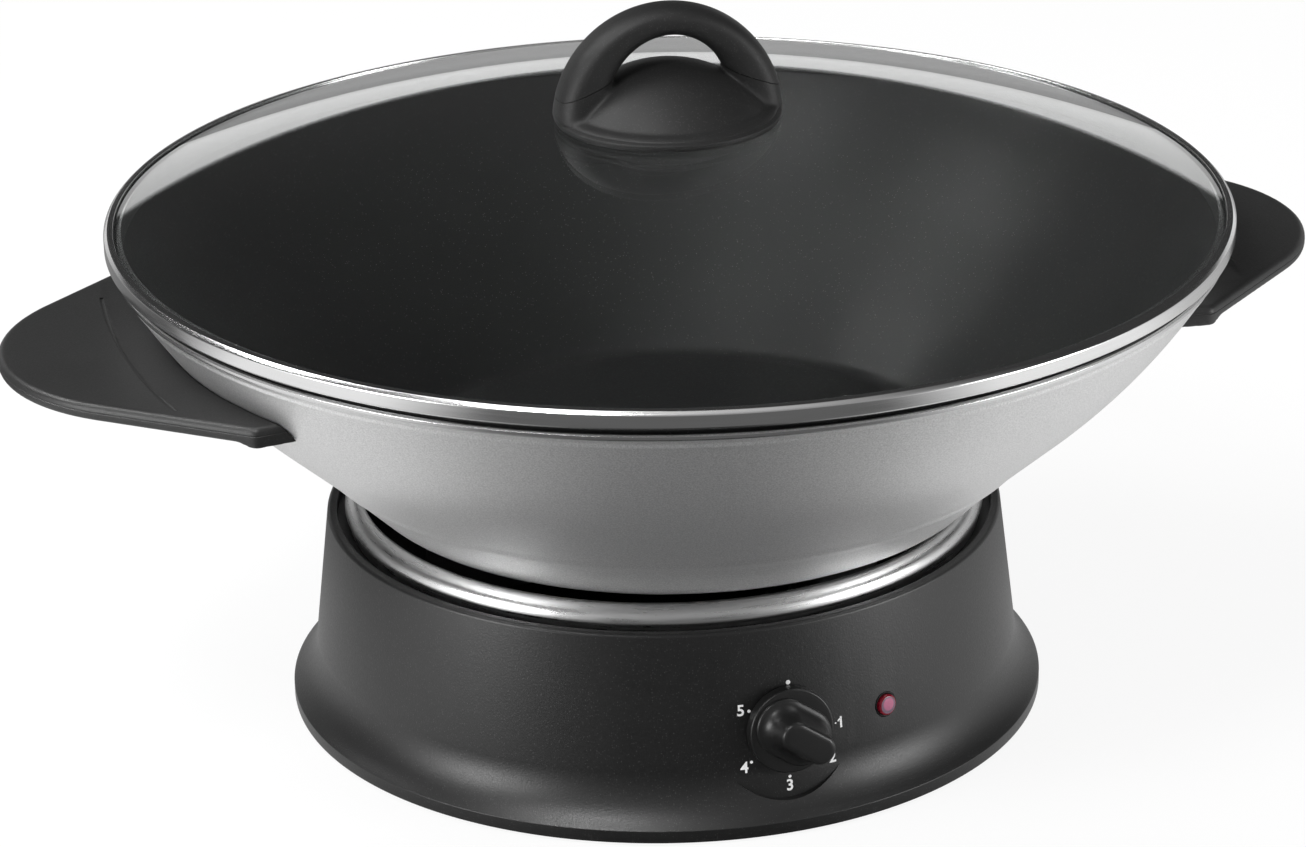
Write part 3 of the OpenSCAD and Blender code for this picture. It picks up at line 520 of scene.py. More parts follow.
# The steel pan with its rolled edge
pan = {
    "depth": 27, "sheet": 1, "corner": 12, "rollWide": 5, "rollHigh": 5.4,
    "skirtIn": 1.2, "skirtHigh": 9.8, "innerDrop": 4, "skirtDrop": 5.5, "tuckDrop": 1.1,
    # corners before and after the roll's arc, from its outer foot and from its top
    "rollFoot": [(-0.25, -0.7)], "rollHead": [(-0.5, -0.15), (-0.2, -1.2)],
}
panLow, panHigh = span("reflector_pan")
panRadius = (panHigh.x - panLow.x) / 2
panInside = panRadius - pan["rollWide"]


def makePan():
    top, sheet = panHigh.z, pan["sheet"]
    floorHeight, skirt = top - pan["depth"], panRadius - pan["skirtIn"]
    inner = (panInside - pan["corner"], floorHeight + pan["corner"])
    roll = []
    for i in range(25):
        turn = math.pi / 2 * i / 24
        roll.append((
            panInside + pan["rollWide"] * math.cos(turn), top - pan["rollHigh"] * (1 - math.sin(turn))))
    return lathe("pan", [(0, floorHeight - sheet)]
        + arcPoints(inner, pan["corner"] + sheet, -90, 0, 12)
        + [(panInside + sheet, top - pan["innerDrop"]), (skirt - sheet, top - pan["skirtDrop"]),
           (skirt - sheet, top - pan["skirtHigh"]),
           (skirt, top - pan["skirtHigh"]), (skirt, roll[0][1] - pan["tuckDrop"])]
        + shifted(pan["rollFoot"], panRadius, roll[0][1]) + roll + shifted(pan["rollHead"], panInside, top)
        + arcPoints(inner, pan["corner"], 0, -90, 12) + [(0, floorHeight)], baseCentre, 320)


panSteel = turnedMetal("panSteel", {
    "dark": 0.60, "light": 0.72, "roughness": 0.30, "line": 1.2, "relief": 0.0004, "centre": baseCentre,
    "stretch": 0.3})
# Painted shade: the inside of the pan, under the roll, gets near black steel for the shade that the bowl
# casts there
panPaintedShade = turnedMetal("panPaintedShade", {
    "dark": 0.020, "light": 0.035, "roughness": 0.5, "line": 1.6, "relief": 0.002, "centre": baseCentre,
    "stretch": 0.0})
panPiece = coat(makePan(), panSteel, "base", "pan_steel", "reflector_pan")
# The faces inside the roll take the painted shade
paintFaces(panPiece, panPaintedShade, lambda spot, normal: (
    spot.z < panHigh.z - 0.9 and (spot.xy - Vector(baseCentre)).length < panInside + 0.1))
print("pan made")

# The bowl: one spun skin with paint outside, non-stick inside and a bare metal edge
bowl = {
    "wall": 2.8, "coneSlope": 42, "footSlope": 44.5, "creaseHeight": 17.8, "corner": 10.5,
    "shoulder": 190, "shoulderEnd": 31, "lipWide": 2.4, "lipHigh": 4.6, "rimDrop": 0.1,
    "ridge": 0.4, "ridgeWide": 8, "seat": 171.5,
    # corners of the lip: outwards and upwards from the rim, and the fillet
    "lip": [(-2.2, -4.7, 0.9), (-2.0, -3.5, 0.5), (-0.2, -1.6, 0.25), (0, -1.2, 0.15), (0, -0.3, 0.25),
            (-0.6, 0.1, 0.2), (-1.7, -0.1, 0.3)],
}
bowlLow, bowlHigh = span("wok_bowl")
bowlFloor = bowlLow.z
rimHeight = bowlHigh.z - bowl["rimDrop"]
rimRadius = (bowlHigh.x - bowlLow.x) / 2


# The side from the floor's corner to the lip: two cones that meet in a crease, then a wide shoulder
def bowlSide(inset, ridge=0.0):
    cone, foot, end = (math.radians(bowl[key]) for key in ("coneSlope", "footSlope", "shoulderEnd"))
    shoulderTop = Vector((rimRadius - bowl["lipWide"], rimHeight - bowl["lipHigh"]))
    centre = shoulderTop + bowl["shoulder"] * Vector((-math.cos(end), math.sin(end)))
    wallFoot = centre + bowl["shoulder"] * Vector((math.sin(cone), -math.cos(cone)))
    creaseZ = bowlFloor + bowl["creaseHeight"]
    crease = Vector((wallFoot.x - (wallFoot.y - creaseZ) / math.tan(cone), creaseZ))
    footRise = bowl["creaseHeight"] - bowl["corner"] * (1 - math.cos(foot))
    cornerX = crease.x - footRise / math.tan(foot) - bowl["corner"] * math.sin(foot)
    inwards = Vector((-math.sin((foot + cone) / 2), math.cos((foot + cone) / 2)))
    crease += inwards * inset / math.cos((foot - cone) / 2)
    along = bowl["ridgeWide"] / 2
    below = crease - along * Vector((math.cos(foot), math.sin(foot)))
    above = crease + along * Vector((math.cos(cone), math.sin(cone)))
    crest = crease - inwards * ridge
    middle = [(*below, 12), (*crest, 10), (*above, 12)] if ridge else [(*crest, 14)]
    cornerSpot = (cornerX, bowlFloor + bowl["corner"])
    corner = arcPoints(cornerSpot, bowl["corner"] - inset, -90, bowl["footSlope"] - 90, 10)
    return (corner + middle
            + arcPoints(centre, bowl["shoulder"] - inset, bowl["coneSlope"] - 90, -bowl["shoulderEnd"], 30))


def fromAxis(spot):
    return spot.xy.length


def makeBowl():
    outside = bowlSide(0, bowl["ridge"])
    inside = [point for point in bowlSide(bowl["wall"]) if point[0] < bowl["seat"]]
    return lathe("bowl", [(0, bowlFloor)] + outside[:-1] + shifted(bowl["lip"], rimRadius, rimHeight)
                 + inside[::-1] + [(0, bowlFloor + bowl["wall"])], steps=384, angle=24)


bowlPaint = flakePaint("bowlPaint", {
    "metal": 0.88, "dark": 0.56, "light": 0.78, "roughness": 0.43, "flake": 0.45, "relief": 0.006})
nonStick = grainPlastic("nonStick", {
    "dark": 0.003, "light": 0.005, "roughness": 0.46, "gloss": 0.2, "fleckSize": 0.6, "fleckShare": 0.10,
    "fleck": 0.10, "grain": 0.7, "relief": 0.01})
rimMetal = turnedMetal("rimMetal", {
    "dark": 0.6, "light": 0.75, "roughness": 0.2, "line": 0.4, "relief": 0.001, "centre": (0, 0),
    "stretch": 0.3})
bowlPiece = coat(makeBowl(), bowlPaint, "bowl", "cast_bowl", "wok_bowl")
paintFaces(bowlPiece, nonStick, lambda spot, normal: (
    spot.z > bowlFloor + 2.7 and fromAxis(spot) < rimRadius - 0.5
    and (normal.z > 0.9 or normal.z > 0.02 and spot.xy.dot(normal.xy) < 0)))
paintFaces(bowlPiece, rimMetal, lambda spot, normal: fromAxis(spot) > rimRadius - 0.3)
print("bowl made")

# The side handles and the disc that spreads the heat
handle = {
    "voxel": 0.6, "rounds": 7, "partingLine": 136.9,
    "grooveRadius": 323, "grooveOut": 1.7, "grooveHalf": 52, "grooveHigh": 0.15, "grooveThick": 0.75,
}


# The groove along the outer edge of the hollow beside the bowl
def makeGroove(side):
    way = 1 if side == "right" else -1
    clearSelection()
    bpy.ops.mesh.primitive_torus_add(
        major_segments=720, minor_segments=12, major_radius=handle["grooveRadius"] * mm,
        minor_radius=handle["grooveThick"] * mm)
    spot = (way * (rimRadius + handle["grooveOut"] - handle["grooveRadius"]), 0,
            span(side + "_handle")[1].z + handle["grooveHigh"])
    groove = applyPlace(named("groove"), Matrix.Translation(Vector(spot) * mm))
    for end in (-1, 1):
        bisect(groove, (0, end * handle["grooveHalf"], 0), (0, end, 0))
    return bisect(groove, (0, 0, 0), (-way, 0, 0))


handlePlastic = grainPlastic("handlePlastic", {
    "dark": 0.010, "light": 0.015, "roughness": 0.46, "gloss": 0.5, "fleckSize": 0.5, "fleckShare": 0.3,
    "fleck": 0.05, "grain": 0.55, "relief": 0.045, "partingLine": handle["partingLine"]})
for side in ("right", "left"):
    piece = soften(smoothCopy(side + "_handle", side + "Handle"), handle["voxel"], handle["rounds"])
    cut(piece, makeGroove(side))
    smooth(piece, 60)
    coat(piece, handlePlastic, "bowl", "phenolic", side + "_handle")
discMetal = turnedMetal("discMetal", {
    "dark": 0.42, "light": 0.56, "roughness": 0.34, "line": 0.5, "relief": 0.004, "centre": (0, 0),
    "stretch": 0.4})
coat(smoothCopy("heat_disc", "heatDisc"), discMetal, "bowl", "disc_aluminium", "heat_disc")
print("handles made")

# The lid's glass dome and the steel hoop that holds it
lid = {
    "glass": 3.5, "rise": 30.6, "edgeDrop": 1, "hole": 2.9, "hoopInset": 1.3, "hoopHeight": 5.4,
    "hoopLap": 3.2, "lapBevel": 0.2, "lapHigh": 0.8, "play": 0.05,
    "plugIn": 2.8, "plugWide": 1.2, "plugLift": 1.8, "plugDrop": 0.7,
    # corners of the hoop's outside: outwards and upwards from its lower and upper edge, and the fillet
    "hoopFoot": [(-0.7, 0, 0.3), (0, 0.7, 0.4)], "hoopHead": [(0, -0.9, 0.8), (-1.1, 0.15, 0.5)],
}
hoopLow, hoopHigh = span("lid_hoop")
hoopRadius = (hoopHigh.x - hoopLow.x) / 2
hoopTop = span("lid_glass")[1].z - lid["rise"] + lid["edgeDrop"]
glassRadius = hoopRadius - lid["hoopInset"]
domeRadius = (glassRadius ** 2 + lid["rise"] ** 2) / (2 * lid["rise"])
domeCentre = hoopTop - lid["edgeDrop"] + lid["rise"] - domeRadius


def domeHeight(radius, drop=0.0):
    return domeCentre + math.sqrt((domeRadius - drop) ** 2 - radius * radius)


def makeGlass():
    radii = [lid["hole"] + (glassRadius - lid["hole"]) * i / 40 for i in range(41)]
    return lathe("lidGlass", [(r, domeHeight(r)) for r in radii]
                 + [(r, domeHeight(r, lid["glass"])) for r in radii[::-1]], steps=320)


# The hoop laps over the glass's edge and plugs into the bowl's lip
def makeHoop():
    low, plug, play = hoopTop - lid["hoopHeight"], rimRadius - lid["plugIn"], lid["play"]
    lap, edge, plugEnd = hoopRadius - lid["hoopLap"], glassRadius + play, plug - lid["plugWide"]
    bevel = lap + lid["lapBevel"]
    outside = shifted(lid["hoopFoot"], hoopRadius, low) + shifted(lid["hoopHead"], hoopRadius, hoopTop)
    return lathe("lidHoop", outside + [
        (bevel, domeHeight(bevel) + lid["lapHigh"], 0.3), (lap, domeHeight(lap) + play),
        (edge, domeHeight(glassRadius) + 2 * play), (edge, domeHeight(glassRadius, lid["glass"]) - play),
        (plugEnd, domeHeight(plugEnd, lid["glass"]) - play), (plugEnd, rimHeight - lid["plugLift"]),
        (plug, rimHeight - lid["plugDrop"]), (plug, low)], steps=384)


lidGlass = clearGlass("lidGlass")
hoopSteel = turnedMetal("hoopSteel", {
    "dark": 0.72, "light": 0.80, "roughness": 0.17, "line": 0.8, "relief": 0.001, "centre": (0, 0),
    "stretch": 0.2})
coat(makeGlass(), lidGlass, "lid", "clear_glass", "lid_glass")
coat(makeHoop(), hoopSteel, "lid", "hoop_steel", "lid_hoop")
print("lid made")

# The lid's handle: a round foot with a soft dome, and an arch that meets its shoulders at two seams
grip = {
    "foot": 36.3, "footLift": 0.2, "turn": -5.3,
    "ridgeIn": 4.8, "ridgeHigh": 4, "ridgeWide": 0.6, "domeRise": 14.6, "domeSink": 0.4, "domeFloor": 1.2,
    "archOut": 0.7, "archLift": 0.4, "archWide": 16, "archBulge": 1.6, "archSquare": 2.6,
    "archFrom": -14, "archTo": 194,
    "opening": 13.1, "openingLift": 3.5, "openingSquash": 0.86,
    "flare": 4.5, "flareFrom": 0.4, "flareOver": 0.64,   # the last two in radians
    "seamIn": (18, 15.6), "seamOut": (46, 4.6), "seamGap": 0.25,
    # corners outwards and upwards from the foot's edge, and the fillet
    "domeEdge": [(-1.6, 1.2), (-0.8, 2.7)],
    "skirt": [(-3, 1), (-1.6, 0), (-0.6, 0, 0.2), (-0.6, 0.8, 0.05), (0, 1.0, 0.2), (0, 2.0, 0.4),
              (-1.4, 2.6, 0.3)],
    "skirtLow": 1, "skirtTop": 2.4,   # at the screw's hole
    "voxel": 0.4, "rounds": 8, "shoulderVoxel": 0.5, "shoulderRounds": 40, "shoulderLow": 1.9,
}
gripHeight = domeHeight(grip["foot"]) + grip["footLift"]
archHeight = gripHeight + grip["archLift"]


# One section of the arch: a squared oval between the outer circle and the flattened, lifted opening
def archRing(turn, sides=44):
    archRadius = grip["foot"] + grip["archOut"]
    openingRadius = archRadius - grip["opening"]
    lift = grip["openingLift"]
    across, up = (math.cos(turn) / grip["openingSquash"]) ** 2, math.sin(turn)
    stretch = across + up * up
    inner = (lift * up + math.sqrt((lift * up) ** 2 + stretch * (openingRadius ** 2 - lift ** 2))) / stretch
    middle, half = (archRadius + inner) / 2, (archRadius - inner) / 2
    low = max(0, grip["flareFrom"] - math.asin(max(-1, up))) / grip["flareOver"]
    width = grip["archWide"] / 2 + grip["archBulge"] * math.cos(turn) ** 2 + grip["flare"] * low * low
    square = 2 / grip["archSquare"]
    ring = []
    for j in range(sides):
        c, s = math.cos(2 * math.pi * j / sides), math.sin(2 * math.pi * j / sides)
        r = middle + half * math.copysign(abs(c) ** square, c)
        y = width * math.copysign(abs(s) ** square, s)
        ring.append((r * math.cos(turn), y, archHeight + r * math.sin(turn)))
    return ring


def makeArchLoop(name, steps=84):
    start, sweep = grip["archFrom"], grip["archTo"] - grip["archFrom"]
    return loft(name, [archRing(math.radians(start + sweep * i / steps)) for i in range(steps + 1)])


# Cuts a piece along the seam of one side and keeps what lies above or below it
def cutAtSeam(piece, side, above):
    (x0, z0), (x1, z1) = grip["seamIn"], grip["seamOut"]
    across = Vector((side * (z0 - z1), 0, x1 - x0)).normalized()
    gap = grip["seamGap"] if above else 0
    return bisect(piece, (side * x0, 0, archHeight + z0 + gap), -across if above else across)


turnedLid = Matrix.Rotation(math.radians(grip["turn"]), 4, "Z")
loop = soften(makeArchLoop("archLoop"), grip["voxel"], grip["rounds"])
halves = []
for side in (1, -1):
    halves.append(bisect(copied(loop, "archHalf"), (0, 0, 0), (-side, 0, 0), False))
    cutAtSeam(halves[-1], side, True)
bpy.data.objects.remove(loop)
arch = joined("lidHandleArch", *halves)
editAll()
bpy.ops.mesh.remove_doubles(threshold=mergeGap)
closeEdit()
applyPlace(smooth(arch, 40), turnedLid)

foot = grip["foot"]
ridgeRadius, ridgeHeight = foot - grip["ridgeIn"], gripHeight + grip["ridgeHigh"]
capRadius = (ridgeRadius ** 2 + grip["domeRise"] ** 2) / (2 * grip["domeRise"])
capEdge = math.degrees(math.asin(ridgeRadius / capRadius))
capCentre = (0, ridgeHeight - grip["domeSink"] + grip["domeRise"] - capRadius)
dome = lathe("lidHandleDome", [(0, gripHeight + grip["domeFloor"])]
             + shifted(grip["domeEdge"], foot, gripHeight) + [(ridgeRadius + grip["ridgeWide"], ridgeHeight)]
             + arcPoints(capCentre, capRadius, 90 - capEdge, 90, 20), steps=180)
shoulders = bisect(makeArchLoop("shoulders"), (0, 0, gripHeight + grip["shoulderLow"]), (0, 0, -1))
lidPlastic = grainPlastic("lidPlastic", {
    "dark": 0.008, "light": 0.011, "roughness": 0.54, "gloss": 0.32, "fleckSize": 0.5, "fleckShare": 0.3,
    "fleck": 0.05, "grain": 0.55, "relief": 0.04})
dome = soften(joined("lidHandleDome", dome, shoulders), grip["shoulderVoxel"], grip["shoulderRounds"])
for side in (1, -1):
    cutAtSeam(dome, side, False)
smooth(dome, 40)
skirt = lathe("lidHandleSkirt", [(lid["hole"], gripHeight + grip["skirtLow"])]
              + shifted(grip["skirt"], foot, gripHeight) + [(lid["hole"], gripHeight + grip["skirtTop"])])
base = applyPlace(joined("lidHandleBase", dome, skirt), turnedLid)
coat(base, lidPlastic, "lid", "lid_plastic", "lid_handle_base")
coat(arch, lidPlastic, "lid", "lid_plastic", "lid_handle_arch")
print("lid handle made")

# The control knob: a round flange and a long grip with hollow flanks
knob = {
    "radius": 13.6, "bore": 3.05, "back": 0.8, "flange": 4.2, "turn": -125,
    # height above the flange, radius of the round ends and the place of their centres
    "slices": [(-0.4, 9.3, -3, 4), (0.55, 9.3, -3, 4), (0.85, 9.15, -3, 4), (1.1, 8.85, -3, 4),
               (1.3, 8.4, -2.95, 4), (1.7, 7.7, -2.9, 4.2), (2.5, 6.9, -2.8, 4.6), (3.7, 6.2, -2.7, 4.9),
               (5.4, 5.6, -2.6, 5.5), (7.2, 5.2, -2.5, 6.2), (8.8, 4.9, -2.4, 6.6), (9.6, 4.7, -2.4, 6.8),
               (9.95, 4.45, -2.4, 6.9),
               (10.25, 4.1, -2.4, 6.9), (10.45, 3.55, -2.4, 6.9), (10.5, 2.8, -2.4, 6.9)],
}


def makeKnob():
    place = onWall(0, housing["knobHeight"]) @ Matrix.Rotation(math.radians(knob["turn"]), 4, "Z")
    top = knob["back"] + knob["flange"]
    flange = lathe("knobFlange", [
        (knob["bore"], knob["back"]), (knob["radius"], knob["back"], 0.5), (knob["radius"], top, 0.7),
        (knob["radius"] - 2, top + 0.1), (knob["bore"], top + 0.2)], steps=160, matrix=place)
    rings, sides = [], 96
    for height, radius, back, nose in knob["slices"]:
        ring = []
        for j in range(sides):
            turn = 2 * math.pi * (j + 0.5) / sides
            shift = nose if math.sin(turn) > 0 else back
            ring.append((radius * math.cos(turn), radius * math.sin(turn) + shift, top + height))
        rings.append(ring)
    return joined("controlKnob", loft("knobGrip", rings, place, 50), flange)


knobPlastic = grainPlastic("knobPlastic", {
    "dark": 0.008, "light": 0.010, "roughness": 0.34, "gloss": 0.4, "fleckSize": 0.5, "fleckShare": 0.02,
    "fleck": 0.02, "grain": 0.5, "relief": 0.0015})
coat(makeKnob(), knobPlastic, "knob", "knob_plastic", "control_knob")
print("knob made")

# The indicator lamp: a proud red lens in a ring of painted shade, near black, with the glow tube seen behind
# its face
lamp = {
    "radius": 3.35, "out": 1.4, "deep": -3.3, "ring": 4.0, "ringOut": 0.3, "ringDeep": -3, "ringGap": 0.03,
    "tube": 2.0, "tubeShift": (0.1, 0.3), "tubeBlur": 0.25,
    "tubeColour": (0.42, 0.105, 0.19, 1), "faceColour": (0.11, 0.07, 0.10, 1),
    "stainColour": (0.2, 0.12, 0.17, 1),
}
lampPlace = onWall(housing["lampTurn"], housing["lampHeight"])


def makeLens():
    r, out, hole = lamp["radius"], lamp["out"], lamp["radius"] + lamp["ringGap"]
    lens = lathe("indicatorLens", [
        (0, lamp["deep"]), (r, lamp["deep"]), (r, out - 0.4, 0.35), (r - 0.55, out, 0.4), (0, out + 0.25)],
        steps=96, matrix=lampPlace)
    ring = lathe("lampRing", [
        (hole, lamp["ringDeep"]), (lamp["ring"], lamp["ringDeep"]), (lamp["ring"], lamp["ringOut"], 0.2),
        (hole, lamp["ringOut"] - 0.3, 0.15)], steps=96, matrix=lampPlace)
    return lens, ring


def lensWindow(name):
    material, tree, shader, place = startMaterial(name)
    centre = lampPlace @ (Vector((*lamp["tubeShift"], lamp["out"])) * mm)
    away = vectorMaths(tree, "DISTANCE", "Value", place, centre)
    tube, blur = lamp["tube"] * mm, lamp["tubeBlur"] * mm
    edge = mapped(tree, away, tube - blur, tube + blur)
    colour = mixColours(tree, edge, lamp["tubeColour"], lamp["faceColour"])
    stain = maths(tree, "MULTIPLY", noise(tree, place, 2.5, 4.0), 0.5)
    baseColour(tree, shader, stain, colour, lamp["stainColour"])
    relief(tree, shader, noise(tree, place, 0.9), 0.2, 0.05, 0.002)
    return material


lensRed = stainedSolid("lensRed", {
    "dark": (0.13, 0.002, 0.008), "light": (0.20, 0.006, 0.018), "roughness": 0.14, "stain": 3.0,
    "relief": 0.002})
lensPiece, ringPiece = makeLens()
lensOut = lampPlace.to_3x3() @ Vector((0, 0, 1))
coat(lensPiece, lensRed, "base", "red_lens", "indicator_lens")
paintFaces(lensPiece, lensWindow("lensWindow"), lambda spot, normal: normal.dot(lensOut) > 0.97)
# Painted shade: the ring round the lens is near black for the shade in the gap round it
lampGapShade = stainedSolid("lampGapShade", {
    "dark": (0.001, 0.001, 0.001), "light": (0.002, 0.002, 0.002), "roughness": 0.6})
coat(ringPiece, lampGapShade, "base", "housing_plastic")

# Numbers and dots round the knob, each by its arc to the right of the knob and its height on the wall
dialMarks = {
    "numbers": [("1", 18.4, 30.1), ("2", 14.9, 19.5), ("3", 0.1, 13.3), ("4", -14.2, 20.9),
                ("5", -14.5, 39.4)],
    # the third value is the radius
    "dots": [(1.1, 46.6, 0.72), (16.5, 30.3, 0.28), (0.2, 16.2, 0.48), (-11.9, 22.6, 0.48),
             (-11.9, 39.1, 0.52)],
    "letter": 5.0, "bold": 0.1, "thick": 0.06, "dotBack": -0.05,
    # the slanted stroke that starts the 1
    "flag": [(-0.1, 1.7), (-1.1, 1.05), (-1.1, 0.5), (-0.1, 1.0)],
}
marks = []


def markPlace(side, height):
    return onWall(math.degrees(side / wallRadius(height)), height)


for text, side, height in dialMarks["numbers"]:
    clearSelection()
    bpy.ops.object.text_add()
    letter = bpy.context.object
    letter.data.body = text
    letter.data.align_x = "CENTER"
    letter.data.align_y = "CENTER"
    letter.data.size = dialMarks["letter"] * mm
    letter.data.offset = dialMarks["bold"] * mm
    letter.data.extrude = dialMarks["thick"] * mm
    bpy.ops.object.convert(target="MESH")
    marks.append(applyPlace(bpy.context.object, markPlace(side, height)))
clearSelection()
bpy.ops.mesh.primitive_circle_add(vertices=len(dialMarks["flag"]), radius=mm, fill_type="NGON")
flag = bpy.context.object
for vertex, (x, y) in zip(flag.data.vertices, dialMarks["flag"]):
    vertex.co = (x * mm, y * mm, dialMarks["thick"] * mm)
applyModifier(flag, "SOLIDIFY", thickness=2 * dialMarks["thick"] * mm)
marks.append(applyPlace(flag, markPlace(*dialMarks["numbers"][0][1:])))
for side, height, radius in dialMarks["dots"]:
    low, high = dialMarks["dotBack"], dialMarks["thick"]
    marks.append(lathe("dot", [(0, low), (radius, low), (radius, high), (0, high)], steps=24,
                       matrix=markPlace(side, height)))
markWhite = stainedSolid("markWhite", {
    "dark": (0.72, 0.72, 0.72), "light": (0.82, 0.82, 0.82), "roughness": 0.5, "relief": 0.004})
coat(joined("dialMarks", *marks), markWhite, "base", "housing_plastic")
print("lamp and dial made")

# Finishes of the CAD nodes that stay
coverPlastic = grainPlastic("coverPlastic", {
    "dark": 0.012, "light": 0.016, "roughness": 0.6, "gloss": 0.4, "fleckSize": 0.6, "fleckShare": 0.04,
    "fleck": 0.04, "grain": 0.6, "relief": 0.02})
footRubber = grainPlastic("footRubber", {
    "dark": 0.01, "light": 0.014, "roughness": 0.75, "gloss": 0.3, "fleckSize": 0.8, "fleckShare": 0.02,
    "fleck": 0.03, "grain": 0.8, "relief": 0.03})
coilMetal = stainedSolid("coilMetal", {
    "metal": 0.9, "dark": (0.05, 0.048, 0.047), "light": (0.12, 0.112, 0.105), "roughness": 0.48})
zincSteel = stainedSolid("zincSteel", {
    "metal": 1.0, "dark": (0.45, 0.46, 0.47), "light": (0.6, 0.6, 0.59), "roughness": 0.34})
screwSteel = stainedSolid("screwSteel", {
    "metal": 1.0, "dark": (0.55, 0.55, 0.56), "light": (0.66, 0.66, 0.66), "roughness": 0.24})
ceramicClay = stainedSolid("ceramicClay", {
    "dark": (0.7, 0.67, 0.6), "light": (0.8, 0.78, 0.72), "roughness": 0.62})
# The first key that is part of a node's name gives its finish
finishes = {
    "bottom_cover": coverPlastic, "heating_coil": coilMetal, "heat_shield": zincSteel,
    "thermal_fuse": ceramicClay, "terminal_block": ceramicClay, "cord_gland": footRubber,
    "cord_clamp": ceramicClay,
    "thermostat_plate": zincSteel, "thermostat_body": ceramicClay, "lamp_holder": ceramicClay,
    "thermostat_shaft": screwSteel, "lid_washer": footRubber, "rubber_foot": footRubber,
    "coil_bracket": zincSteel, "shield_spacer": zincSteel, "coil_terminal": ceramicClay,
    "handle_lug": zincSteel, "screw": screwSteel,
}
for name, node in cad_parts.items():
    if node.hide_render:
        continue
    node.data.materials.clear()
    node.data.materials.append(next(value for key, value in finishes.items() if key in name))
print("CAD nodes finished")

# The white table. It keeps some of the part's shadow, and mirrors find it dark in front, with a painted
# shadow near the part
table = {
    "size": 12, "edges": (0.13, 0.30), "zones": (0.24, 0.40),   # metres from the middle
    "shadowKept": 0.11, "under": 0.8,
    # brightness by the turn in degrees from the camera (left is minus), far off and near the part, where
    # painted shadow darkens front and back
    "farTurns": [(-180, 0.4), (-138, 0.25), (-102, 0.1), (-82, 1.0), (-50, 1.0), (-31, 0.13), (36, 0.13),
                 (57, 1.0), (90, 1.0), (108, 0.6), (140, 0.35), (180, 0.4)],
    "nearTurns": [(-180, 0.22), (-135, 0.28), (-108, 0.9), (-60, 1.0), (-35, 0.4), (-10, 0.06), (15, 0.06),
                  (40, 0.4), (62, 1.0), (110, 0.9), (138, 0.28), (180, 0.22)],
}
towardsCamera = Vector((camera["spot"][0], camera["spot"][1], 0)).normalized()
towardsRight = Vector((-towardsCamera.y, towardsCamera.x, 0))


# How far a direction points ahead and to the right, and its turn as a part of the full circle
def turnAround(tree, way):
    ahead = vectorMaths(tree, "DOT_PRODUCT", "Value", way, towardsCamera)
    right = vectorMaths(tree, "DOT_PRODUCT", "Value", way, towardsRight)
    return ahead, right, mapped(tree, maths(tree, "ARCTAN2", right, ahead), -math.pi, math.pi)


def byTurn(tree, part, turns):
    return ramp(tree, part, [((turn + 180) / 360, value) for turn, value in turns])


clearSelection()
bpy.ops.mesh.primitive_plane_add(size=table["size"])
floor = named("floor")
floorWhite, tree, shader, place = startMaterial("floorWhite", Roughness=0.8, Specular_IOR_Level=0.1)
baseColour(tree, shader, noise(tree, place, 500.0), grey(0.80), grey(0.82))
part = turnAround(tree, place)[2]
distance = vectorMaths(tree, "LENGTH", "Value", place)
around = mixColours(tree, mapped(tree, distance, *table["zones"]), byTurn(tree, part, table["nearTurns"]),
                    byTurn(tree, part, table["farTurns"]))
# Painted shadow: the glow that mirrors see is dimmed near the part, rising to full between the two edges
paintedShadowLevel = mapped(tree, distance, *table["edges"], table["under"], 1.0)
mirrored = glow(tree, "ShaderNodeEmission", paintedShadowLevel, around)
rays = addNode(tree, "ShaderNodeLightPath")
share = maths(tree, "MULTIPLY", rays.outputs["Is Camera Ray"], 1 - table["shadowKept"])
mixed = mixShaders(tree, share, shader.outputs[0], glow(tree, "ShaderNodeEmission", 1.0))
mixed = mixShaders(tree, rays.outputs["Is Glossy Ray"], mixed, mirrored)
tree.links.new(mixed, tree.nodes["Material Output"].inputs["Surface"])
floor.data.materials.append(floorWhite)

# Five lamps, each by its turn in degrees from the camera, the height and distance of its middle, its size
# (width and height), all in metres, and its power in watts
lamps = {
    "leftLamp": {"turn": -57, "high": 0.36, "away": 1.6, "size": (0.6, 0.65), "power": 13},
    "rightLamp": {"turn": 70, "high": 0.36, "away": 1.6, "size": (0.65, 0.65), "power": 11},
    "keyLamp": {"turn": -32, "high": 1.5, "away": 1.0, "size": (0.45, 0.45), "power": 15},
    "sideLamp": {"turn": -105, "high": 1.3, "away": 1.1, "size": (0.5, 0.5), "power": 12},
    "topLamp": {"turn": -84, "high": 2.0, "away": 0.55, "size": (0.9, 0.9), "power": 8},
}
lampAim = Vector((0, 0, 0.1))
for name, setting in lamps.items():
    data = bpy.data.lights.new(name, "AREA")
    data.shape = "RECTANGLE"
    data.size, data.size_y = setting["size"]
    data.energy = setting["power"]
    light = bpy.data.objects.new(name, data)
    bpy.context.scene.collection.objects.link(light)
    turn = math.radians(setting["turn"])
    spot = (towardsCamera * math.cos(turn) + towardsRight * math.sin(turn)) * setting["away"]
    spot.z = setting["high"]
    aimed = (lampAim - spot).to_track_quat("-Z", "Y").to_matrix().to_4x4()
    light.matrix_world = Matrix.Translation(spot) @ aimed

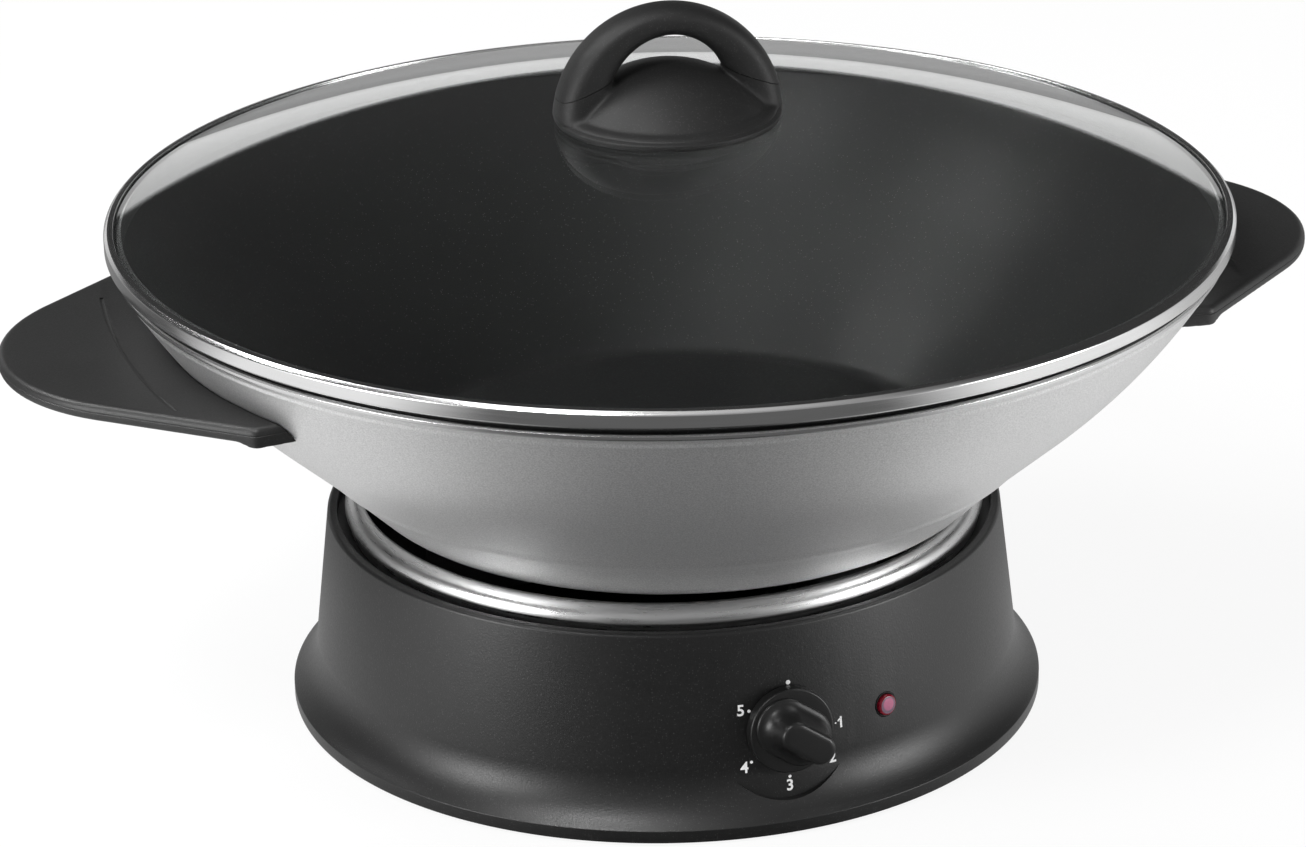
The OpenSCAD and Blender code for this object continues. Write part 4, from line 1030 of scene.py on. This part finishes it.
# The room: plain fill for the colours and white behind the part. Mirrors find a bright band at the horizon,
# which rises to both sides, and above it a dark room that is brighter in front and overhead
studio = {
    "fill": 0.55, "dark": 0.035,
    "horizon": 0.052, "horizonBlur": 0.008, "horizonBend": 1.49, "horizonLift": 0.17,
    "horizonTurns": [(-180, 1.0), (-157, 1.0), (-138, 0.3), (-102, 0.1), (-82, 1.0), (-50, 1.0), (-31, 0.13),
                     (36, 0.13), (57, 1.0), (90, 1.0), (108, 0.6), (140, 0.6), (157, 1.0), (180, 1.0)],
    "frontHeights": [(0.05, 0.13), (0.42, 0.32), (0.86, 0.32), (0.95, 0.6)], "frontEdges": (-0.05, 0.3),
}
world = bpy.data.worlds.new("studio")
bpy.context.scene.world = world
world.use_nodes = True
tree = world.node_tree
tree.nodes.clear()
way = addNode(tree, "ShaderNodeTexCoord").outputs["Generated"]
height = addNode(tree, "ShaderNodeSeparateXYZ", {"Vector": way}).outputs["Z"]
ahead, right, part = turnAround(tree, way)
lift = maths(tree, "MULTIPLY", maths(tree, "MULTIPLY", right, right), studio["horizonBend"])
lift = maths(tree, "MINIMUM", lift, studio["horizonLift"])
low = ramp(tree, maths(tree, "SUBTRACT", height, lift), [
    (studio["horizon"], 1.0), (studio["horizon"] + studio["horizonBlur"], 0.0)])
front = mapped(tree, ahead, *studio["frontEdges"])
room = mixColours(tree, front, grey(studio["dark"]), ramp(tree, height, studio["frontHeights"]))
room = mixColours(tree, low, room, byTurn(tree, part, studio["horizonTurns"]))
fill, mirror, white = (glow(tree, "ShaderNodeBackground", *values) for values in (
    (studio["fill"],), (1.0, room), (1.0,)))

# White is what the camera sees, straight or through the glass, and the room is what mirrors see
rays = addNode(tree, "ShaderNodeLightPath").outputs
bounces = maths(tree, "ADD", rays["Glossy Depth"], rays["Diffuse Depth"])
mirrors = maths(tree, "GREATER_THAN", rays["Glossy Depth"], 0.5)
direct = maths(tree, "LESS_THAN", bounces, 0.5)
inMirror, seen = (
    maths(tree, "MAXIMUM", rays[kind], maths(tree, "MULTIPLY", rays["Is Transmission Ray"], share))
    for kind, share in (("Is Glossy Ray", mirrors), ("Is Camera Ray", direct)))
surface = mixShaders(tree, seen, mixShaders(tree, inMirror, fill, mirror), white)
tree.links.new(surface, addNode(tree, "ShaderNodeOutputWorld").inputs["Surface"])

bpy.context.scene.view_settings.view_transform = "Standard"
print("light made")
